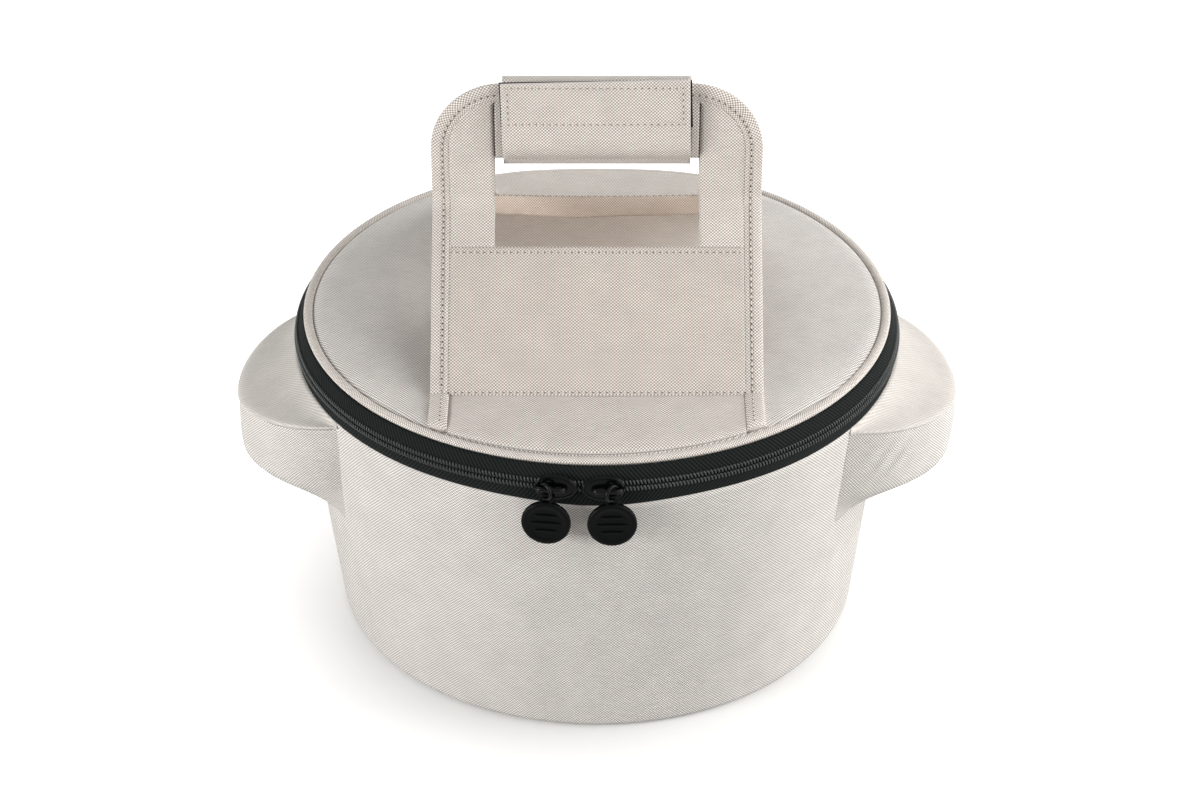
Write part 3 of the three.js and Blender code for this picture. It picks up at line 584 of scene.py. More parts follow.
def ear_gusset(side, depth):
    """Side and bottom of an ear: bearing and stand-out by outline, height and tuck.

    Slanting puckers, a sine inside a bell near the front root, move points round the wall.
    """
    t = np.sin(np.linspace(-math.pi / 2, math.pi / 2, 129))[None, :]
    v = np.linspace(0, 1, 41)[:, None]
    root = WALL_H - EAR_DROP
    outline = ear_outline(side, t)
    top = root - EAR_SLOPE * EAR_OUT * outline - 0.6
    z = top + (root - EAR_H + depth - top) * v
    if side < 0:
        z = z - LEFT_LOWER * np.clip((v - 0.6) / 0.4, 0, 1)
    plumb = EAR_HOLD * (wall_r(root) - wall_r(z))
    roll = 1.0 * (1 - v) ** 14
    bell = np.exp(-((side * t + 0.68) / 0.17) ** 2 - ((v - 0.32) / 0.2) ** 2)
    pucker = (LEFT_PUCKER if side < 0 else RIGHT_PUCKER) * bell * np.sin(42 * side * t + 21 * v)
    crease = 0.5 * np.sin(math.pi * v) * np.sin(9 * t + 5 * v + side)
    reach = (EAR_OUT - depth + plumb - roll + crease) * outline
    sink = ROOT_SINK if side < 0 else 0.5 * ROOT_SINK
    r = wall_r(z) - sink + (reach + sink * outline) * ear_tuck(v)
    half = EAR_HALF - math.degrees(depth / MOUTH_R)
    return polar(r, ear_bearing(side, t, v, half) - side * np.degrees(pucker / MOUTH_R), z)


def ear_top(side):
    """Top of an ear: slopes outwards from the wall and sags a little in its middle."""
    t = np.sin(np.linspace(-math.pi / 2, math.pi / 2, 65))[None, :]
    q = np.linspace(0, 1, 17)[:, None]
    outline = ear_outline(side, t)
    reach = EAR_OUT * outline
    roll = 1.0 * q ** 14
    turned_up = (EAR_DROP + EAR_WALL / 2) * (1 - q) ** 5
    sag = (EAR_SAG * np.sin(math.pi * q) + roll) * outline
    z = WALL_H - EAR_DROP - EAR_SLOPE * reach * q - sag + turned_up
    r = wall_r(WALL_H - EAR_DROP) - CLEAR + (reach - 0.6 * outline) * q
    return polar(r, ear_bearing(side, t, 0 * q, EAR_HALF), z - EAR_WALL / 2)


def rear_dip(points):
    """How far the lid's back hangs down: a bell across times a smooth rise backwards."""
    x, y = points[..., 0], points[..., 1]
    bell = np.exp(-(x / REAR_DIP_HALF) ** 2)
    return REAR_DIP * bell * smooth_step((y - REAR_DIP_START) / REAR_DIP_RUN)


def lowered(points, depth):
    """Points let down by a depth."""
    down = np.zeros_like(points)
    down[..., 2] = depth
    return points - down


def dipped(points, share=1.0):
    """Points let down by a share of the dip at the lid's back."""
    return lowered(points, rear_dip(points) * share)


def mouth_dip(points, share):
    """Points let down at the front of the mouth: a bell across times a share."""
    bell = np.exp(-(points[..., 0] / MOUTH_DIP_HALF) ** 2) * (points[..., 1] < 0)
    return lowered(points, MOUTH_DIP * bell * share)


def lid_z(r):
    """Height of the lid's canvas: flat, puffed near its edge, then an elliptic shoulder."""
    puff = bpy.context.scene.carrier_sewing.puff / MM
    share = np.clip(r / LID_R, 0, 1)
    crown = puff * np.sin(math.pi * np.clip((share - 0.55) / 0.45, 0, 1)) ** 1.3
    turned = np.clip((r - LID_R) / SHOULDER + 1, 0, 1)
    return LID_TOP + crown - SHOULDER_DROP * (1 - np.sqrt(1 - turned ** 2))


def arch(reach, top, corner, start, leg_rows=64, corner_rows=17, top_rows=21):
    """Outline of a handle: up one leg, round a quarter circle, over the top and down."""
    turn = np.linspace(0, math.pi / 2, corner_rows)[1:]
    run = np.linspace(reach - corner, 0, top_rows)[1:]
    across = [np.full(leg_rows, reach), reach - corner + corner * np.cos(turn), run]
    along = [np.linspace(start, top - corner, leg_rows),
             top - corner + corner * np.sin(turn), np.full(top_rows - 1, top)]
    right = np.stack([np.concatenate(across), np.concatenate(along)], axis=-1)
    return np.concatenate([right, right[-2::-1] * np.array([-1, 1])])


BEND_SETBACK = HANDLE_BEND * math.tan(HANDLE_LEAN / 2)
LEAN_LENGTH = (SEAM_Y - UPRIGHT_Y) / math.sin(HANDLE_LEAN)
KNEE_Z = SEAM_Z + LEAN_LENGTH * math.cos(HANDLE_LEAN)
BEND_START = LEAN_LENGTH - BEND_SETBACK
BEND_END = BEND_START + HANDLE_BEND * HANDLE_LEAN


def blank_length(top, turned):
    """Length of a handle's flat blank up to a height, a little less on the rear one."""
    return BEND_END + top - KNEE_Z - BEND_SETBACK - (REAR_LOWER if turned else 0)


def bend(blank, turned):
    """Bends a blank of across, along and out: a lean, an arc of the bend radius, upright.

    The direction turns with the length past the start of the arc, and out is set off
    square to it. Upwards the blank widens a little. The rear handle is the front one
    turned half round.
    """
    across, along, out = np.moveaxis(np.asarray(blank, dtype=float), -1, 0)
    across = across * (1 + HANDLE_FLARE * np.clip(along / BEND_END, 0, 1))
    turn = np.clip((along - BEND_START) / HANDLE_BEND, 0, HANDLE_LEAN)
    angle = HANDLE_LEAN - turn
    lower = np.minimum(along, BEND_START)
    rest = np.maximum(along - BEND_END, 0)
    y = (lower * math.sin(HANDLE_LEAN) - SEAM_Y
         + HANDLE_BEND * (np.cos(angle) - math.cos(HANDLE_LEAN)) - out * np.cos(angle))
    z = (SEAM_Z + lower * math.cos(HANDLE_LEAN)
         + HANDLE_BEND * (math.sin(HANDLE_LEAN) - np.sin(angle)) + rest
         + out * np.sin(angle))
    sign = -1 if turned else 1
    return np.stack([sign * across, sign * y, z], axis=-1)


def panel_out(across, along, turned):
    """How far a panel's middle stands out: the rear one is thin and sags in at its top."""
    sag = REAR_PANEL_SAG * np.cos(math.pi * across / HANDLE_W) * (along / PANEL_LEN) ** 2
    return -((HANDLE_T - REAR_PANEL_T) / 2 + sag) if turned else 0 * across


def on_blank(line, out, turned):
    """A seam drawn on a handle's blank, with its outward normals, bent with the handle."""
    out = np.broadcast_to(out, len(line))[:, None]
    flat = np.concatenate([line, out], axis=1)
    lifted = np.concatenate([line, out + np.copysign(1, out)], axis=1)
    points = bend(flat, turned)
    return points, bend(lifted, turned) - points


# Materials

SLUB = 18.18 * MM
CANVASES = ("two_tone_canvas", "even_toned_canvas", "handle_canvas", "handle_panel_canvas",
            "thin_panel_canvas")


def node(tree, kind, links=None, **settings):
    """Adds a node with its settings, and sets or links its inputs by name or number."""
    made = tree.nodes.new("ShaderNode" + kind)
    for key, value in settings.items():
        setattr(made, key, value)
    connect(tree, made, links or {})
    return made


def connect(tree, target, links):
    """Sets or links a node's inputs by name or number."""
    for socket, value in links.items():
        if isinstance(value, bpy.types.NodeSocket):
            tree.links.new(value, target.inputs[socket])
        else:
            target.inputs[socket].default_value = value


def backdrop_rays(tree):
    """1 for rays that look at the backdrop: from the camera, a reflection or through glass."""
    path = node(tree, "LightPath")
    shiny = node(tree, "Math", {
        0: path.outputs["Is Glossy Ray"], 1: path.outputs["Is Transmission Ray"]},
        operation="MAXIMUM")
    seen = node(tree, "Math", {
        0: path.outputs["Is Camera Ray"], 1: shiny.outputs[0]}, operation="MAXIMUM")
    return seen.outputs[0]


def new_material(name):
    """An empty node material and its principled shader."""
    material = bpy.data.materials.new(name)
    material.use_nodes = True
    return material.node_tree, material.node_tree.nodes["Principled BSDF"]


def woven_canvas(name, warp, weft, thread, through):
    """Plain-woven two-tone polyester canvas: cream and taupe threads pass over in turn.

    It gives the eye a fine check of small bulging threads with uneven, slubby tone and
    a soft sheen. The product of two sines, one across each thread set, is above zero
    where the cream thread lies on top. The thread is drawn wider than the real one, which
    would be too fine to show. A share of the light passes through the cloth.
    """
    tree, shader = new_material(name)
    uv = node(tree, "UVMap", uv_map="weave")
    mapped = node(tree, "Mapping", {
        "Vector": uv.outputs["UV"], "Scale": (math.pi / thread, math.pi / thread, 1)})
    axes = node(tree, "SeparateXYZ", {0: mapped.outputs[0]})
    across = node(tree, "Math", {0: axes.outputs[0]}, operation="SINE")
    along = node(tree, "Math", {0: axes.outputs[1]}, operation="SINE")
    over = node(tree, "Math", {0: across.outputs[0], 1: along.outputs[0]}, operation="MULTIPLY")
    check = node(tree, "MapRange", {
        "Value": over.outputs[0], "From Min": -0.45, "From Max": 0.45})
    slub = node(tree, "TexNoise", {
        "Vector": uv.outputs["UV"], "Scale": 1 / SLUB, "Detail": 3.0, "Roughness": 0.6})
    streak_map = node(tree, "Mapping", {
        "Vector": mapped.outputs[0], "Scale": (0.04, 0.33, 1)})
    streak = node(tree, "TexNoise", {"Vector": streak_map.outputs[0], "Scale": 1.0})
    tone = node(tree, "Mix", {
        0: check.outputs[0], 6: (*weft, 1), 7: (*warp, 1)}, data_type="RGBA")
    light = node(tree, "MapRange", {
        "Value": slub.outputs[0], "From Min": 0.3, "From Max": 0.7, "To Min": 0.93, "To Max": 1.03})
    fleck = node(tree, "MapRange", {
        "Value": streak.outputs[0], "From Min": 0.3, "From Max": 0.7,
        "To Min": 0.93, "To Max": 1.05})
    shade = node(tree, "Math", {0: light.outputs[0], 1: fleck.outputs[0]}, operation="MULTIPLY")
    colour = node(tree, "Mix", {
        0: 1.0, 6: tone.outputs[2], 7: shade.outputs[0]}, data_type="RGBA", blend_type="MULTIPLY")
    height = node(tree, "Math", {0: over.outputs[0]}, operation="ABSOLUTE")
    bump = node(tree, "Bump", {
        "Height": height.outputs[0], "Strength": 0.45, "Distance": 0.16 * MM})
    connect(tree, shader, {
        "Base Color": colour.outputs[2], "Normal": bump.outputs[0], "Roughness": 0.88,
        "Specular IOR Level": 0.15, "Sheen Weight": 0.08, "Sheen Roughness": 0.5})
    glow = node(tree, "BsdfTranslucent", {"Color": (*to_linear("#F4E5D7"), 1)})
    both = node(tree, "MixShader", {0: through, 1: shader.outputs[0], 2: glow.outputs[0]})
    tree.links.new(both.outputs[0], tree.nodes["Material Output"].inputs["Surface"])


def ribbed_tape(name, colour, rib, turn, crest_highlight_contrast):
    """Woven polyester zip tape: black slanted ribs, coloured lighter on their crests and darker in their
    grooves as painted highlight and painted shade.
    """
    tree, shader = new_material(name)
    uv = node(tree, "UVMap", uv_map="weave")
    mapped = node(tree, "Mapping", {
        "Vector": uv.outputs["UV"], "Rotation": (0, 0, math.radians(turn)),
        "Scale": (TURN / (rib * MM), math.pi / (0.5 * rib * MM), 1)})
    axes = node(tree, "SeparateXYZ", {0: mapped.outputs[0]})
    across = node(tree, "Math", {0: axes.outputs[0]}, operation="SINE")
    along = node(tree, "Math", {0: axes.outputs[1]}, operation="SINE")
    cross = node(tree, "Math", {0: along.outputs[0], 1: 0.15}, operation="MULTIPLY")
    height = node(tree, "Math", {0: across.outputs[0], 1: cross.outputs[0]}, operation="ADD")
    share = node(tree, "MapRange", {"Value": height.outputs[0], "From Min": -1.2, "From Max": 1.2})
    # Painted highlight and shade: the rib crests are lighter and the grooves darker by this contrast
    dark = tuple(c / crest_highlight_contrast for c in colour)
    bright = tuple(min(crest_highlight_contrast * c, 1) for c in colour)
    tone = node(tree, "Mix", {
        0: share.outputs[0], 6: (*dark, 1), 7: (*bright, 1)}, data_type="RGBA")
    bump = node(tree, "Bump", {
        "Height": height.outputs[0], "Strength": 0.6, "Distance": 0.12 * MM})
    connect(tree, shader, {
        "Base Color": tone.outputs[2], "Normal": bump.outputs[0], "Roughness": 0.8,
        "Specular IOR Level": 0.07})


def moulded(name, colour, roughness, grain, depth, shine):
    """Moulded or painted black part: a fine uneven skin under a soft gloss."""
    tree, shader = new_material(name)
    place = node(tree, "TexCoord")
    noise = node(tree, "TexNoise", {
        "Vector": place.outputs["Object"], "Scale": 1 / (grain * MM), "Detail": 2.0})
    gloss = node(tree, "MapRange", {
        "Value": noise.outputs[0], "To Min": roughness - 0.07, "To Max": roughness + 0.07})
    dark = tuple(0.75 * c for c in colour)
    bright = tuple(1.2 * c for c in colour)
    tone = node(tree, "Mix", {
        0: noise.outputs[0], 6: (*dark, 1), 7: (*bright, 1)}, data_type="RGBA")
    bump = node(tree, "Bump", {
        "Height": noise.outputs[0], "Strength": 0.3, "Distance": depth * MM})
    connect(tree, shader, {
        "Base Color": tone.outputs[2], "Normal": bump.outputs[0], "Roughness": gloss.outputs[0],
        "Specular IOR Level": shine})


def sewing_thread(name, colour, hole):
    """Polyester sewing thread: pale like the cloth, with painted shade at its ends where it dives into
    needle holes.
    """
    tree, shader = new_material(name)
    uv = node(tree, "UVMap", uv_map="weave")
    axes = node(tree, "SeparateXYZ", {0: uv.outputs["UV"]})
    off = node(tree, "Math", {0: axes.outputs[0], 1: 0.5}, operation="SUBTRACT")
    end = node(tree, "Math", {0: off.outputs[0]}, operation="ABSOLUTE")
    # Painted shade of the needle holes: the thread darkens towards its ends
    deep = node(tree, "MapRange", {"Value": end.outputs[0], "From Min": 0.33, "From Max": 0.41})
    tone = node(tree, "Mix", {
        0: deep.outputs[0], 6: (*colour, 1), 7: (*hole, 1)}, data_type="RGBA")
    connect(tree, shader, {
        "Base Color": tone.outputs[2], "Roughness": 0.8, "Specular IOR Level": 0.2})


def make_materials(cloth):
    """Every material of the carrier, named for what it is."""
    warp, weft = tuple(cloth.warp), tuple(cloth.weft)
    warp_h, weft_h = tuple(cloth.handle_warp), tuple(cloth.handle_weft)
    # Body and lid: a clear check of cream and taupe
    woven_canvas("two_tone_canvas", warp, weft, cloth.thread, 0.0)
    # Ear tops, seen so flat that the check blurs to one tone
    woven_canvas("even_toned_canvas", to_linear("#E1DCD6"), to_linear("#C2BCB5"), cloth.thread, 0.0)
    # Handles: a warmer check, lit through a little where it is one layer
    woven_canvas("handle_canvas", warp_h, weft_h, cloth.thread, 0.04)
    woven_canvas("handle_panel_canvas", warp_h, weft_h, cloth.thread, 0.14)
    # Rear panel: one thin layer that glows warm with light from behind
    woven_canvas("thin_panel_canvas", to_linear("#FFFBF6"), to_linear("#CFC5BA"), cloth.thread, 0.3)
    # Finer cloths: the inside of the handles, tinted warm as painted warm light bounced between the
    # canvases, and bias strip along the edges
    fine = 0.8 * cloth.thread
    woven_canvas("handle_backing_cloth", to_linear("#FDEEE2"), to_linear("#B5A292"), fine, 0.1)
    woven_canvas("bias_canvas_binding", warp_h, weft_h, fine, 0.0)
    # Folded edges, too narrow to show the check: its mean tone, matt
    middle = tuple((np.array(warp) + np.array(weft)) / 2)
    moulded("folded_canvas_edge", middle, 0.85, 1.2, 0.05, 0.2)
    # Ribs: slanted on the black zip tape, square on the fastening tape, faint on the lining; each
    # coloured lighter on its crests and darker in its grooves as painted highlight and shade
    ribbed_tape("woven_zip_tape", tuple(cloth.tape), 1.5, 40, 2.5)
    ribbed_tape("hook_and_loop_tape", to_linear("#1E2022"), 0.9, 0, 1.6)
    ribbed_tape("coated_taffeta_lining", tuple(cloth.lining), 0.8, 0, 1.12)
    # Black parts: glossy black nylon coloured grey as a painted highlight on the coil's turns, smooth
    # deep paint, and duller rubber
    moulded("nylon_zip_coil", to_linear("#383C3B"), 0.3, 0.6, 0.02, 0.4)
    moulded("black_painted_zinc", to_linear("#050607"), 0.16, 0.5, 0.01, 0.11)
    moulded("black_rubber", to_linear("#040505"), 0.35, 0.4, 0.02, 0.06)
    # Thread: pale dashes with the painted shade of the needle holes between them
    sewing_thread("polyester_thread", to_linear("#D6CDC3"), to_linear("#2A231F"))


# Operators

class CARRIER_OT_body(bpy.types.Operator):
    """Sews the base, the tapered wall, the lining and the mouth binding"""

    bl_idname = "carrier.body"
    bl_label = "Body"

    def execute(self, context):
        sag = context.scene.carrier_sewing.sag / MM
        bearings = np.linspace(-180, 180, 361)
        outer = wall_profile(CANVAS / 2)
        cloth = soft_wall(outer, bearings, sag)
        upper = np.clip((cloth[..., 2] - WALL_H) / MOUTH_DIP_DEEP + 1, 0, 1) ** 2
        wall = build("wall_canvas", [patch(
            mouth_dip(cloth, upper), keep=ear_window(outer, bearings))])
        finish(wall, "two_tone_canvas", "body", ["side_wall", "wall_foam"], CANVAS)

        r = np.linspace(0, SPLIT_R + CLEAR, 30)[:, None]
        disc = polar(r, bearings[None, ::3], 0.0)
        under = build("base_canvas", [patch(disc + [0, 0, CANVAS / 2], uv=disc[..., :2])])
        finish(under, "two_tone_canvas", "body", ["base_panel", "base_foam"], CANVAS)

        inner = wall_profile(STACK - LINING / 2)
        inside = build("wall_lining_cloth", [patch(
            soft_wall(inner, bearings, 0.5 * sag), keep=ear_window(inner, bearings))])
        finish(inside, "coated_taffeta_lining", "body", ["wall_lining"], LINING)
        floor = build("base_lining_cloth", [patch(
            disc + [0, 0, STACK - LINING / 2], uv=disc[..., :2])])
        finish(floor, "coated_taffeta_lining", "body", ["base_lining"], LINING)

        low, high = box_mm("mouth_binding")
        inner_r = MOUTH_R - STACK - BINDING_INSET
        band = rolled(inner_r, high[0], low[2], high[2], 4, 20, bearings)
        mouth = build("mouth_binding_tape", [patch(band)])
        finish(mouth, "bias_canvas_binding", "body", ["mouth_binding"])
        return {"FINISHED"}


class CARRIER_OT_ears(bpy.types.Operator):
    """Sews the two ear pockets for the dish's handles"""

    bl_idname = "carrier.ears"
    bl_label = "Ears"

    def execute(self, context):
        for word, side in (("left", -1), ("right", 1)):
            slope = ear_top(side)
            top = build(f"{word}_ear_top_panel", [patch(slope, uv=slope[..., :2])])
            finish(top, "even_toned_canvas", "body", [f"{word}_ear_top"], EAR_WALL)
            gusset = build(f"{word}_ear_side_panel", [patch(ear_gusset(side, EAR_WALL / 2))])
            finish(gusset, "two_tone_canvas", "body", [f"{word}_ear_gusset"], EAR_WALL)
            inside = build(f"{word}_ear_pocket_lining", [patch(ear_gusset(side, EAR_LINING_IN))])
            finish(inside, "coated_taffeta_lining", "body", [f"{word}_ear_lining"], LINING)
        return {"FINISHED"}


class CARRIER_OT_zip(bpy.types.Operator):
    """Lays the two zip tapes with their coils, and the hinge panel behind"""

    bl_idname = "carrier.zip"
    bl_label = "Zip"

    def execute(self, context):
        low = WALL_H + CLEAR
        middle = (low + ZIP_TOP) / 2
        self.half("body", "wall_canvas", low, middle - SLIT / 2, 1)
        self.half("lid", "lid_rim", ZIP_TOP, middle + SLIT / 2, -1)
        turn = np.linspace(ZIP_END, 360 - ZIP_END, 61)
        z = np.linspace(low, ZIP_TOP, 25)
        strip = revolve(np.stack([zip_r(z) - CANVAS / 2, z], axis=-1), turn)
        panel = build("hinge_panel_canvas", [patch(
            dipped(strip, ((z - z[0]) / (z[-1] - z[0]))[:, None]))])
        finish(panel, "two_tone_canvas", None, ["hinge_panel"], CANVAS)
        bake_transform(panel)
        return {"FINISHED"}

    def half(self, body, carrier, edge, slit, up):
        """One tape from its sewn edge to the slit, and its coil: a wire wound in a spiral."""
        z = np.linspace(edge, slit, 7)
        bearings = np.linspace(-ZIP_END, ZIP_END, 309)
        strip = revolve(np.stack([zip_r(z) - TAPE / 2, z], axis=-1), bearings)
        if body == "body":
            strip = mouth_dip(strip, np.linspace(1, 0, 7)[:, None])
        tape = build(f"{body}_zip_tape_cloth", [patch(strip)])
        finish(tape, "woven_zip_tape", body, [f"{body}_zip_tape"], TAPE)

        centre = slit - up * (COIL_RISE + COIL_PROUD)
        turns = int(zip_r(centre) * math.radians(2 * ZIP_END) / COIL_PITCH)
        phase = np.linspace(0, TURN * turns, 10 * turns + 1)
        along = ZIP_END * (2 * phase / phase[-1] - 1)
        r = zip_r(centre) + COIL_PROUD + COIL_DEPTH * np.sin(phase)
        path = polar(r, along, centre + COIL_RISE * np.cos(phase))
        coil = wire(path, COIL_WIRE, 5, polar(1.0, along + 90, 0.0))
        teeth = build(f"{body}_zip_coil_turns", [patch(capped(coil))])
        # The coil's grey is painted highlight on black nylon
        finish(teeth, "nylon_zip_coil", body, [f"{body}_zip_coil"])


class CARRIER_OT_lid(bpy.types.Operator):
    """Makes the padded lid, its rim band and the handle ends sewn down on it"""

    bl_idname = "carrier.lid"
    bl_label = "Lid"

    def execute(self, context):
        bearings = np.linspace(-180, 180, 241)
        r = LID_R * np.sin(np.linspace(0, math.pi / 2, 90))[:, None]
        top = polar(r, bearings[None, :], lid_z(r))
        low = LID_UNDER + LINING + CLEAR
        edge = polar(np.full((5, 1), LID_R), bearings[None, :],
                     np.linspace(lid_z(LID_R), low, 5)[:, None])
        under = polar(r[::-1], bearings[None, :], low)
        shell = dipped(np.concatenate([top, edge[1:-1], under]))
        pad = build("lid_pad", [patch(shell, uv=shell[..., :2])])
        finish(pad, "two_tone_canvas", "lid", ["lid_top_panel", "lid_foam"])

        disc = polar(r, bearings[None, :], 0.0)
        inside = build("lid_lining_cloth", [patch(
            dipped(disc + [0, 0, LID_UNDER + LINING / 2]), uv=disc[..., :2])])
        finish(inside, "coated_taffeta_lining", "lid", ["lid_lining"], LINING)

        band = rolled(LID_R + RIM_GAP, RIM_HIGH[0], RIM_LOW[2], RIM_HIGH[2], 2.1, 28,
                      np.linspace(-180, 180, 361))
        rim = build("lid_rim", [patch(dipped(band))])
        finish(rim, "bias_canvas_binding", "lid", ["lid_rim_band"])
        low, high = box_mm("lid_seam_binding")
        band = rolled(LID_R, high[0], low[2], high[2], 4, 20, bearings)
        seam = build("lid_seam_tape", [patch(dipped(band))])
        finish(seam, "bias_canvas_binding", "lid", ["lid_seam_binding"])

        half = HANDLE_W / 2
        ring = oval(EDGE_W / 2, EDGE_T / 2, 3, 16)[None]
        for word, sign in (("front", -1), ("rear", 1)):
            x = np.linspace(-half + EDGE_W, half - EDGE_W, 67)[None, :]
            flap = build(f"{word}_flap_canvas", [patch(self.laid(x, sign, FLAP_LIFT))])
            finish(flap, "handle_canvas", "lid", [f"{word}_handle_flap"], CANVAS)
            ends = [self.laid(end * (half - EDGE_W / 2) + ring[..., 0], sign,
                              FLAP_EDGE_LIFT + ring[..., 1]) for end in (-1, 1)]
            edges = build(f"{word}_flap_binding", [patch(capped(end)) for end in ends])
            finish(edges, "handle_canvas", "lid")
        return {"FINISHED"}

    def laid(self, x, sign, lift):
        """Strip of cloth on the lid from the handle seam out to the lid's own seam."""
        q = np.linspace(0, 1, 31)[:, None]
        edge = np.sqrt((LID_R - FLAP_SHORT) ** 2 - x * x)
        y = SEAM_Y + (edge - SEAM_Y) * q
        z = lid_z(np.hypot(x, y)) + lift
        return dipped(np.stack(np.broadcast_arrays(x, sign * y, z), axis=-1))


class CARRIER_OT_handles(bpy.types.Operator):
    """Cuts, binds and bends the two handles with their grip pads"""

    bl_idname = "carrier.handles"
    bl_label = "Handles"

    def execute(self, context):
        for word, turned, top in HANDLES:
            body, length = f"{word}_handle", blank_length(top, turned)
            half = HANDLE_W / 2 - EDGE_W + EDGE_LAP
            cloth = "thin_panel_canvas" if turned else "handle_panel_canvas"
            # Front panel's inner face: warm tint painted for the warm light bounced inside the handles
            back = cloth if turned else "handle_backing_cloth"
            panel = build(f"{word}_panel_canvas", [patch(self.panel(half, turned))])
            finish(panel, cloth, body, [f"{word}_handle_panel"],
                   REAR_PANEL_T if turned else HANDLE_T, back)

            # Hem lip: warm tint painted for the warm light bounced inside the handles
            hem = build(f"{word}_hem_lip", [patch(self.hem(half, turned))])
            finish(hem, "handle_backing_cloth", body, (), HEM_T)

            flat = self.straps(length)
            straps = build(f"{word}_strap_canvas", [patch(bend(flat, turned), uv=flat[..., :2])])
            finish(straps, "handle_canvas", body, [f"{word}_handle_straps"], HANDLE_T)

            line = arch(HANDLE_W / 2 - EDGE_W / 2, length - EDGE_W / 2,
                        HANDLE_CORNER - EDGE_W / 2, 0.0, 80)
            edge = build(f"{word}_edge_binding", [patch(capped(bend(self.edge(line), turned)))])
            finish(edge, "handle_canvas", body, [f"{word}_handle_edge"])

            block = capped(self.pad(word, 1 if turned else -1))
            pad = build(f"{word}_pad", [patch(block, uv=block[..., [0, 2]])])
            finish(pad, "handle_canvas", body, [f"{word}_grip_pad"])
        return {"FINISHED"}

    def panel(self, half, turned):
        """Plain panel: a flat grid, stood out by its sag and bent."""
        u, v = np.meshgrid(np.linspace(-half, half, 67), np.linspace(0.4, PANEL_LEN, 60))
        return bend(np.stack([u, v, panel_out(u, v, turned)], axis=-1), turned)

    def hem(self, half, turned):
        """Turned-in top of a panel: over its edge on the rear one, then hanging in a curve.

        The fall grows with a power of the way down, and two sines across make it wavy.
        """
        u, v = np.meshgrid(np.linspace(-half, half, 67), np.linspace(0, 1, 12))
        under = np.clip((v - HEM_FOLD) / (1 - HEM_FOLD), 0, 1)
        if turned:
            wave = 0.5 * np.sin(u / 19 + 1) + 0.3 * np.sin(u / 8)
            over = REAR_PANEL_T * (np.minimum(v / HEM_FOLD, 1) - 0.5)
            hang, end, width = REAR_HEM_DROP + wave, PANEL_LEN + EDGE_LAP, REAR_HEM_W
        else:
            over = 0.3 * HANDLE_T
            hang, end, width = FRONT_HEM_DROP, PANEL_LEN - 0.5, FRONT_HEM_W
        rest = panel_out(u, np.full_like(u, PANEL_LEN), turned)
        out = rest - (over + hang * under ** 1.1)
        return bend(np.stack([u, end - width * under ** 2, out], axis=-1), turned)

    def straps(self, length):
        """Flat blank of the straps: straight lines from the hole's outline to the outer one."""
        inside = EDGE_W - EDGE_LAP
        outer = arch(HANDLE_W / 2 - inside, length - inside, HANDLE_CORNER - inside, PANEL_LEN)
        inner = arch(HOLE_W / 2, length - EDGE_W - CLEAR, HOLE_CORNER, PANEL_LEN)
        t = np.linspace(0, 1, 13)[None, :, None]
        flat = inner[:, None] + (outer - inner)[:, None] * t
        return np.concatenate([flat, np.zeros((*flat.shape[:2], 1))], axis=-1)

    def edge(self, line):
        """Binding on the blank: an oval section along the edge, dented at its stitches."""
        ahead = unit(np.gradient(line, axis=0))
        outward = np.stack([ahead[:, 1], -ahead[:, 0]], axis=-1)
        ring = oval(EDGE_W / 2, EDGE_T / 2, 2.6, 44)
        dent = np.exp(-((ring[:, 0] + EDGE_STITCH - EDGE_W / 2) / 0.7) ** 2)
        ring[:, 1] = ring[:, 1] * (1 - 0.3 * dent)
        flat = line[:, None] + outward[:, None] * ring[None, :, :1]
        depth = np.broadcast_to(ring[None, :, 1:], (*flat.shape[:2], 1))
        return np.concatenate([flat, depth], axis=-1)

    def pad(self, word, out):
        """Grip pad: an oval section carried across, swollen beside the wrap to fill the hole."""
        low, high = box_mm(f"{word}_grip_pad")
        x = np.linspace(low[0], high[0], 219)[:, None]
        lift = REAR_PAD_LIFT if out > 0 else FRONT_PAD_LIFT
        ring = oval((high[1] - low[1]) / 2, (high[2] - low[2] - lift) / 2, 6, 40)[None]
        hole = HOLE_W / 2 * (1 + HANDLE_FLARE)
        past = np.abs(x) - WRAP_HIGH[0]
        swell = PAD_SWELL * smooth_step((hole - np.abs(x)) / 0.6) * smooth_step(past + 0.9)
        y = ring[..., 0] + out * swell * (out * ring[..., 0] > 0)
        lower = PAD_END_DROP * smooth_step((past + 1) / 2) * (ring[..., 1] > 0)
        block = np.stack(np.broadcast_arrays(x, y, ring[..., 1] + lift / 2 - lower), axis=-1)
        return block + [0, (high[1] + low[1]) / 2, (high[2] + low[2]) / 2]


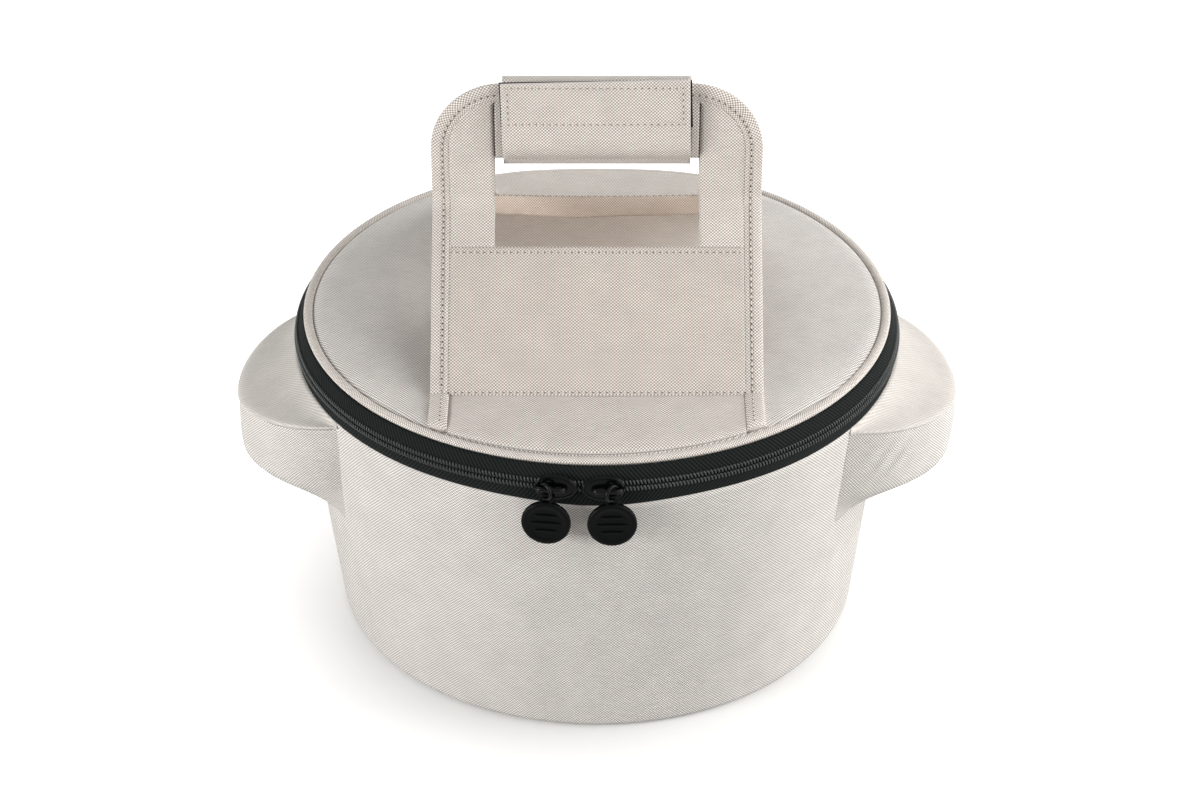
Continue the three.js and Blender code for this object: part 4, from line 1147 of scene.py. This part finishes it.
class CARRIER_OT_grip(bpy.types.Operator):
    """Wraps both grips and closes the flap over its fastening tapes"""

    bl_idname = "carrier.grip"
    bl_label = "Grip wrap"

    def execute(self, context):
        half = WRAP_HIGH[0]
        path = self.wrap_path()
        wrap = self.slab("grip_wrap_canvas", path, half, 60)
        finish(wrap, "handle_canvas", "rear_handle", ["grip_wrap"], WRAP_T)

        y = (LOOP_LOW[1] + LOOP_HIGH[1]) / 2
        path = resample(np.array([(y, LOOP_LOW[2]), (y, LOOP_HIGH[2])]), 20)
        loop = self.slab("loop_fastening_tape", path, LOOP_HIGH[0], 20)
        finish(loop, "hook_and_loop_tape", "rear_handle", ["loop_tape"], FASTENER_T)

        y = (HOOK_LOW[1] + HOOK_HIGH[1]) / 2
        path = resample(np.array([(y, HOOK_LOW[2]), (y, HOOK_HIGH[2] - 0.35)]), 20)
        hook = self.slab("hook_fastening_tape", path, HOOK_HIGH[0], 20, 0.6 * FLAP_SKEW, TAPE_SHIFT)
        finish(hook, "hook_and_loop_tape", "wrap_flap", ["hook_tape"], FASTENER_T)

        path = self.flap_path()
        flap = self.slab("grip_flap_canvas", path, half, 60, FLAP_SKEW, FLAP_SHIFT)
        finish(flap, "handle_canvas", "wrap_flap", ["grip_flap"], WRAP_T)
        return {"FINISHED"}

    def wrap_path(self):
        """Side view of the wrap: up the front, over both bars, round the rear one and under."""
        low, high = WRAP_LOW[2] + WRAP_RAISE + WRAP_T / 2, WRAP_HIGH[2] - WRAP_T / 2
        front, back = WRAP_LOW[1] + WRAP_T / 2, WRAP_HIGH[1] - WRAP_T / 2
        fall = HANDLE_TOP - REAR_TOP
        rear = high - fall
        return smooth_line([
            (front, LOOP_LOW[2]), (front, high), (0.9, high), (WRAP_SLIM, rear), (back, rear),
            (back, rear - TOP_BAND - 2.6), (WRAP_SLIM, rear - TOP_BAND - 7), (WRAP_SLIM, low),
            (-0.6, low), (-WRAP_SLIM, low + fall)], 90, 2)

    def flap_path(self):
        """Side view of the flap: from its root under the bars round to its free top."""
        front, root = FLAP_LOW[1] + WRAP_T / 2, FLAP_HIGH[1] - WRAP_T / 2
        low = FLAP_LOW[2] + FLAP_RAISE
        return smooth_line([
            (root + 0.4, low + 0.7), (root - 0.4, low + 0.8), (front - 0.3, low + 7),
            (front, HOOK_LOW[2]), (front, FLAP_HIGH[2])], 60, 3)

    def slab(self, name, path, half, columns, skew=0.0, shift=0.0):
        """Cloth whose side view is a path, carried across, its top skewed a little."""
        x = np.linspace(-half, half, columns)[None, :]
        share = ((path[:, 1] - path[:, 1].min()) / np.ptp(path[:, 1]))[:, None]
        z = path[:, 1, None] + skew * share ** 2 * x / half
        grid = np.stack(np.broadcast_arrays(x - shift * share, path[:, 0, None], z), axis=-1)
        return build(name, [patch(grid)])


class CARRIER_OT_pulls(bpy.types.Operator):
    """Makes the zip sliders with their rings and rubber discs"""

    bl_idname = "carrier.pulls"
    bl_label = "Zip pulls"

    def execute(self, context):
        joints = {joint["name"]: joint for joint in frame["joints"]}
        for word, side in (("left", -1), ("right", 1)):
            lift = joints[f"{word}_ring_lift"]
            along = -np.array(lift["axis"])
            out = np.array([along[1], -along[0], 0.0])
            up = np.array([0.0, 0.0, 1.0])
            parts = self.slider(side, along, out, np.array(lift["pos_m"]) / MM)
            piece = build(f"{word}_slider_body", [patch(part) for part in parts])
            finish(piece, "black_painted_zinc", f"{word}_zip_slider",
                   [f"{word}_slider"])
            low, high = box_mm(f"{word}_pull_ring")
            ring = hoop(RING_R, oval(RING_WIRE, RING_WIRE, 2, 16), unit(out - side * along), up, 65)
            piece = build(f"{word}_wire_ring", [patch((low + high) / 2 + ring)])
            finish(piece, "black_painted_zinc", f"{word}_ring",
                   [f"{word}_pull_ring"])
            eyelet = np.array(joints[f"{word}_disc_swing"]["pos_m"]) / MM
            axes = np.stack([along, out, up])
            piece = build(f"{word}_rubber_disc", [patch(eyelet + part @ axes) for part in self.disc()])
            finish(piece, "black_rubber", f"{word}_disc", [f"{word}_pull_disc"])
        return {"FINISHED"}

    def disc(self):
        """Disc with a raised edge, three grip ribs and an eyelet; x across, y out, z up.

        The disc is a rounded profile turned round y, and each rib a rounded block.
        """
        thin = DISC_T * 0.3
        face = smooth_line([
            (0, thin), (DISC_R - 3, thin), (DISC_R - 2.4, DISC_T / 2), (DISC_R - 0.8, DISC_T / 2),
            (DISC_R, DISC_T / 2 - 0.6), (DISC_R, 0), (DISC_R, -thin), (DISC_R - 0.8, -thin - 0.3),
            (0, -thin - 0.3)], 40, 2)
        turn = np.linspace(0, TURN, 73)[None, :]
        body = np.stack(np.broadcast_arrays(
            face[:, :1] * np.cos(turn), face[:, 1:], face[:, :1] * np.sin(turn) - DISC_HANG), -1)
        ribs = [blob((DISC_R * (0.62 - 0.16 * abs(step)), 0.55, 0.75), 3, 16, 24)
                + [0, thin + 0.2, step * DISC_R * 0.36 - DISC_HANG] for step in (-1, 0, 1)]
        across, up = np.array([1.0, 0.0, 0.0]), np.array([0.0, 0.0, 1.0])
        eyelet = hoop(EYELET_R, oval(0.7, 0.75, 2.4, 14), across, up, 49)
        return [body, *ribs, eyelet]

    def nosed(self, points, side):
        """Points of a slider whose height falls with the square of the way to its nose."""
        way = np.clip(-side * points[..., :1] / (SLIDER_L / 2), 0, 1)
        return np.concatenate([points[..., :2], points[..., 2:] * (1 - SLIDER_NOSE * way ** 2)], axis=-1)

    def slider(self, side, along, out, bar):
        """Slider of two rounded plates, a post and an arched bridge over the front plate."""
        middle = (WALL_H + ZIP_TOP) / 2
        lean = math.atan2(ZIP_INSET, ZIP_TOP - WALL_H)
        up = out * -math.sin(lean) + np.array([0, 0, math.cos(lean)])
        off = out * math.cos(lean) + np.array([0, 0, math.sin(lean)])
        centre = zip_r(middle) * out + np.array([0, 0, middle])
        half = SLIDER_L / 2
        plate = blob((half, 1.0, SLIDER_H / 2), 3)
        front = self.nosed(plate, side) + [0, PLATE_OUT, 0]

        line = oval(half - BRIM_IN, SLIDER_H / 2 - BRIM_IN, 2.8, 64)
        loop = self.nosed(np.insert(line, 1, BRIM_OUT, axis=1), side)
        angle = np.linspace(0, TURN, 65)
        spoke = np.stack([np.cos(angle), 0 * angle, np.sin(angle)], axis=-1)
        brim = tube(loop, oval(0.55, 0.55, 2, 12), spoke, rows_of((0, 1, 0), 65))
        back = blob((half, 0.8, 4.3), 4) + [0, -3.2, 0]
        post = blob((3.5, 2.6, 0.25), 6) + [0, -0.6, 0]

        swing = np.linspace(0, math.pi, 41)[:, None]
        ends = side * (half - BRIM_IN), -side * (half - 5.4)
        mid, wide = sum(ends) / 2, abs(ends[0] - ends[1]) / 2
        reach = float((bar - centre) @ off) + 0.1
        crown = np.concatenate([
            mid + wide * signed_power(np.cos(swing), BRIDGE_POWER),
            BRIDGE_OUT + (reach - BRIDGE_OUT) * np.sin(swing) ** BRIDGE_POWER, 0 * swing], axis=1)
        bridge = capped(wire(crown, BRIDGE_WIRE, 14, rows_of((0, 0, 1), 41)))
        axes = np.stack([along, off, up])
        return [centre + part @ axes for part in (front, brim, back, post, bridge)]


class CARRIER_OT_stitching(bpy.types.Operator):
    """Sews the visible rows of stitches"""

    bl_idname = "carrier.stitching"
    bl_label = "Stitching"

    def execute(self, context):
        inset, sewn = HANDLE_W / 2 - EDGE_W, HANDLE_W / 2 - EDGE_STITCH
        for word, turned, top in HANDLES:
            length = blank_length(top, turned)
            hem = np.stack([np.linspace(-inset, inset, 80), np.full(80, PANEL_LEN - HEM_STITCH)], -1)
            base = np.stack([np.linspace(-sewn, sewn, 80), np.full(80, SEAM_STITCH)], -1)
            edge = arch(sewn, length - EDGE_STITCH, HANDLE_CORNER - EDGE_STITCH, 2.0)
            out, bind = HANDLE_T / 2 + THREAD_PROUD, EDGE_T / 2
            face = (REAR_PANEL_T if turned else HANDLE_T) / 2 + THREAD_PROUD
            rest = panel_out(hem[:, 0], hem[:, 1], turned)
            rows = (hem, rest + face), (base, out), (hem, rest - face), (edge, bind), (edge, -bind)
            seams = [on_blank(line, level, turned) for line, level in rows]
            piece = build(f"{word}_handle_stitches", [stitches(seams)])
            finish(piece, "polyester_thread", f"{word}_handle")

            sign = 1 if turned else -1
            ends = []
            for x in (-sewn, sewn):
                y = np.linspace(SEAM_Y + 2, math.sqrt(LID_R ** 2 - x * x) - 5, 20)
                z = lid_z(np.hypot(x, y)) + FLAP_EDGE_LIFT + EDGE_T / 2
                points = dipped(np.stack([np.full(20, x), sign * y, z], axis=-1))
                ends.append((points, rows_of((0, 0, 1), 20)))
            piece = build(f"{word}_flap_stitches", [stitches(ends)])
            finish(piece, "polyester_thread", "lid")

        y, half = FLAP_LOW[1] - THREAD_PROUD / 2, WRAP_HIGH[0] - GRIP_STITCH
        top, low = FLAP_HIGH[2] - 3.0, HOOK_LOW[2] + 2.0
        near, far = FLAP_SHIFT / 2, FLAP_SHIFT
        corners = np.array([
            (-half - near, y, low), (half - near, y, low), (half - far, y, top), (-half - far, y, top)])
        rows = [(resample(np.stack(pair), 40), rows_of((0, -1, 0), 40))
                for pair in zip(corners, np.roll(corners, -1, axis=0))]
        piece = build("grip_flap_stitches", [stitches(rows)])
        finish(piece, "polyester_thread", "wrap_flap")
        return {"FINISHED"}


class CARRIER_OT_stage(bpy.types.Operator):
    """Sets the pale floor, the soft light and the camera"""

    bl_idname = "carrier.stage"
    bl_label = "Stage"

    def execute(self, context):
        scene, stage = context.scene, context.scene.carrier_stage
        scene.view_settings.view_transform = "Standard"
        self.floor(stage)
        self.world(scene, stage)
        for side, bearing, height, size in SOFTBOXES:
            self.softbox(f"{side}_softbox", getattr(stage, side), bearing, height, size)
        camera = bpy.data.cameras.new("photo_camera")
        camera.lens = CAMERA_LENS
        camera.sensor_width = CAMERA_SENSOR
        eye = bpy.data.objects.new("photo_camera", camera)
        eye.location = CAMERA_PLACE
        eye.rotation_euler = (math.pi / 2 - CAMERA_TILT, 0, 0)
        scene.collection.objects.link(eye)
        scene.camera = eye
        return {"FINISHED"}

    def floor(self, stage):
        """Pale round floor that runs far past the picture's edges, under the carrier. Its glow seen by
        the camera is lowered within about 0.1 to 0.18 m of a point 25 mm in front of the middle: a
        painted shadow round the base, heaviest in front.
        """
        r = np.linspace(0, FLOOR_R / MM, 20)[:, None]
        grid = polar(r, np.linspace(-180, 180, 65)[None, :], -0.15)
        floor = build("floor", [patch(grid, uv=grid[..., :2])])
        tree, shader = new_material("pale_floor")
        seen = backdrop_rays(tree)
        bounce = tuple(0.75 * c for c in stage.floor)
        tone = node(tree, "Mix", {
            0: seen, 6: (*bounce, 1), 7: (*stage.floor, 1)}, data_type="RGBA")
        place = node(tree, "TexCoord")
        far = node(tree, "VectorMath", {
            0: place.outputs["Object"], 1: (0, -25 * MM, 0)}, operation="DISTANCE")
        # Painted shadow: the glow falls towards the carrier, most in front of it
        painted_floor_shadow = node(tree, "MapRange", {
            "Value": far.outputs["Value"], "From Min": 0.1, "From Max": 0.18,
            "To Min": 0.2, "To Max": 0.74})
        horizon = node(tree, "MapRange", {
            "Value": far.outputs["Value"], "From Min": 0.5, "From Max": 1.5})
        level = node(tree, "Math", {
            0: painted_floor_shadow.outputs[0], 1: horizon.outputs[0]}, operation="MAXIMUM")
        glow = node(tree, "Math", {0: seen, 1: level.outputs[0]}, operation="MULTIPLY")
        connect(tree, shader, {
            "Base Color": tone.outputs[2], "Roughness": 0.9, "Specular IOR Level": 0.0,
            "Emission Color": (1, 1, 1, 1), "Emission Strength": glow.outputs[0]})
        floor.data.materials.append(bpy.data.materials["pale_floor"])

    def world(self, scene, stage):
        """Even light all round, and a full-strength pale backdrop where the camera looks past the floor.
        """
        world = bpy.data.worlds.new("studio")
        scene.world = world
        world.use_nodes = True
        tree = world.node_tree
        level = node(tree, "MapRange", {
            "Value": backdrop_rays(tree), "To Min": stage.ambient, "To Max": 1.0})
        connect(tree, tree.nodes["Background"], {
            "Color": (1, 1, 1, 1), "Strength": level.outputs[0]})

    def softbox(self, name, power, bearing, height, size):
        """Square area light at a bearing and a height in degrees, facing the carrier."""
        lamp = bpy.data.lights.new(name, "AREA")
        lamp.energy = power
        lamp.size = size
        box = bpy.data.objects.new(name, lamp)
        rise = math.radians(height)
        flat, up = SOFTBOX_AWAY * math.cos(rise), SOFTBOX_AWAY * math.sin(rise)
        place = polar(flat, bearing, up + SOFTBOX_AIM)
        box.location = place.tolist()
        box.rotation_euler = (math.pi / 2 - rise, 0, math.radians(bearing))
        bpy.context.scene.collection.objects.link(box)


class CARRIER_PT_panel(bpy.types.Panel):
    """Lists the carrier's pieces and settings in the sidebar"""

    bl_idname = "CARRIER_PT_panel"
    bl_label = "Casserole carrier"
    bl_space_type = "VIEW_3D"
    bl_region_type = "UI"
    bl_category = "Carrier"

    def draw(self, context):
        layout = self.layout
        for group in GROUPS:
            settings = getattr(context.scene, group)
            for name in settings.__annotations__:
                layout.prop(settings, name)
        for operator in OPERATORS:
            layout.operator(operator.bl_idname)


GROUPS = {
    "carrier_cloth": CarrierCloth,
    "carrier_sewing": CarrierSewing,
    "carrier_stage": CarrierStage,
}
OPERATORS = (
    CARRIER_OT_body, CARRIER_OT_ears, CARRIER_OT_zip, CARRIER_OT_lid, CARRIER_OT_handles,
    CARRIER_OT_grip, CARRIER_OT_pulls, CARRIER_OT_stitching, CARRIER_OT_stage,
)


def register():
    """Adds the settings, the operators and the panel to Blender."""
    for group in GROUPS.values():
        bpy.utils.register_class(group)
    for name, group in GROUPS.items():
        setattr(bpy.types.Scene, name, bpy.props.PointerProperty(type=group))
    for operator in OPERATORS:
        bpy.utils.register_class(operator)
    bpy.utils.register_class(CARRIER_PT_panel)


def unregister():
    """Takes the panel, the operators and the settings out again."""
    bpy.utils.unregister_class(CARRIER_PT_panel)
    for operator in reversed(OPERATORS):
        bpy.utils.unregister_class(operator)
    for name, group in GROUPS.items():
        delattr(bpy.types.Scene, name)
        bpy.utils.unregister_class(group)


def main():
    """Builds the carrier and its stage."""
    register()
    make_materials(bpy.context.scene.carrier_cloth)
    for operator in OPERATORS:
        group, name = operator.bl_idname.split(".")
        getattr(getattr(bpy.ops, group), name)()


if __name__ == "__main__":
    main()
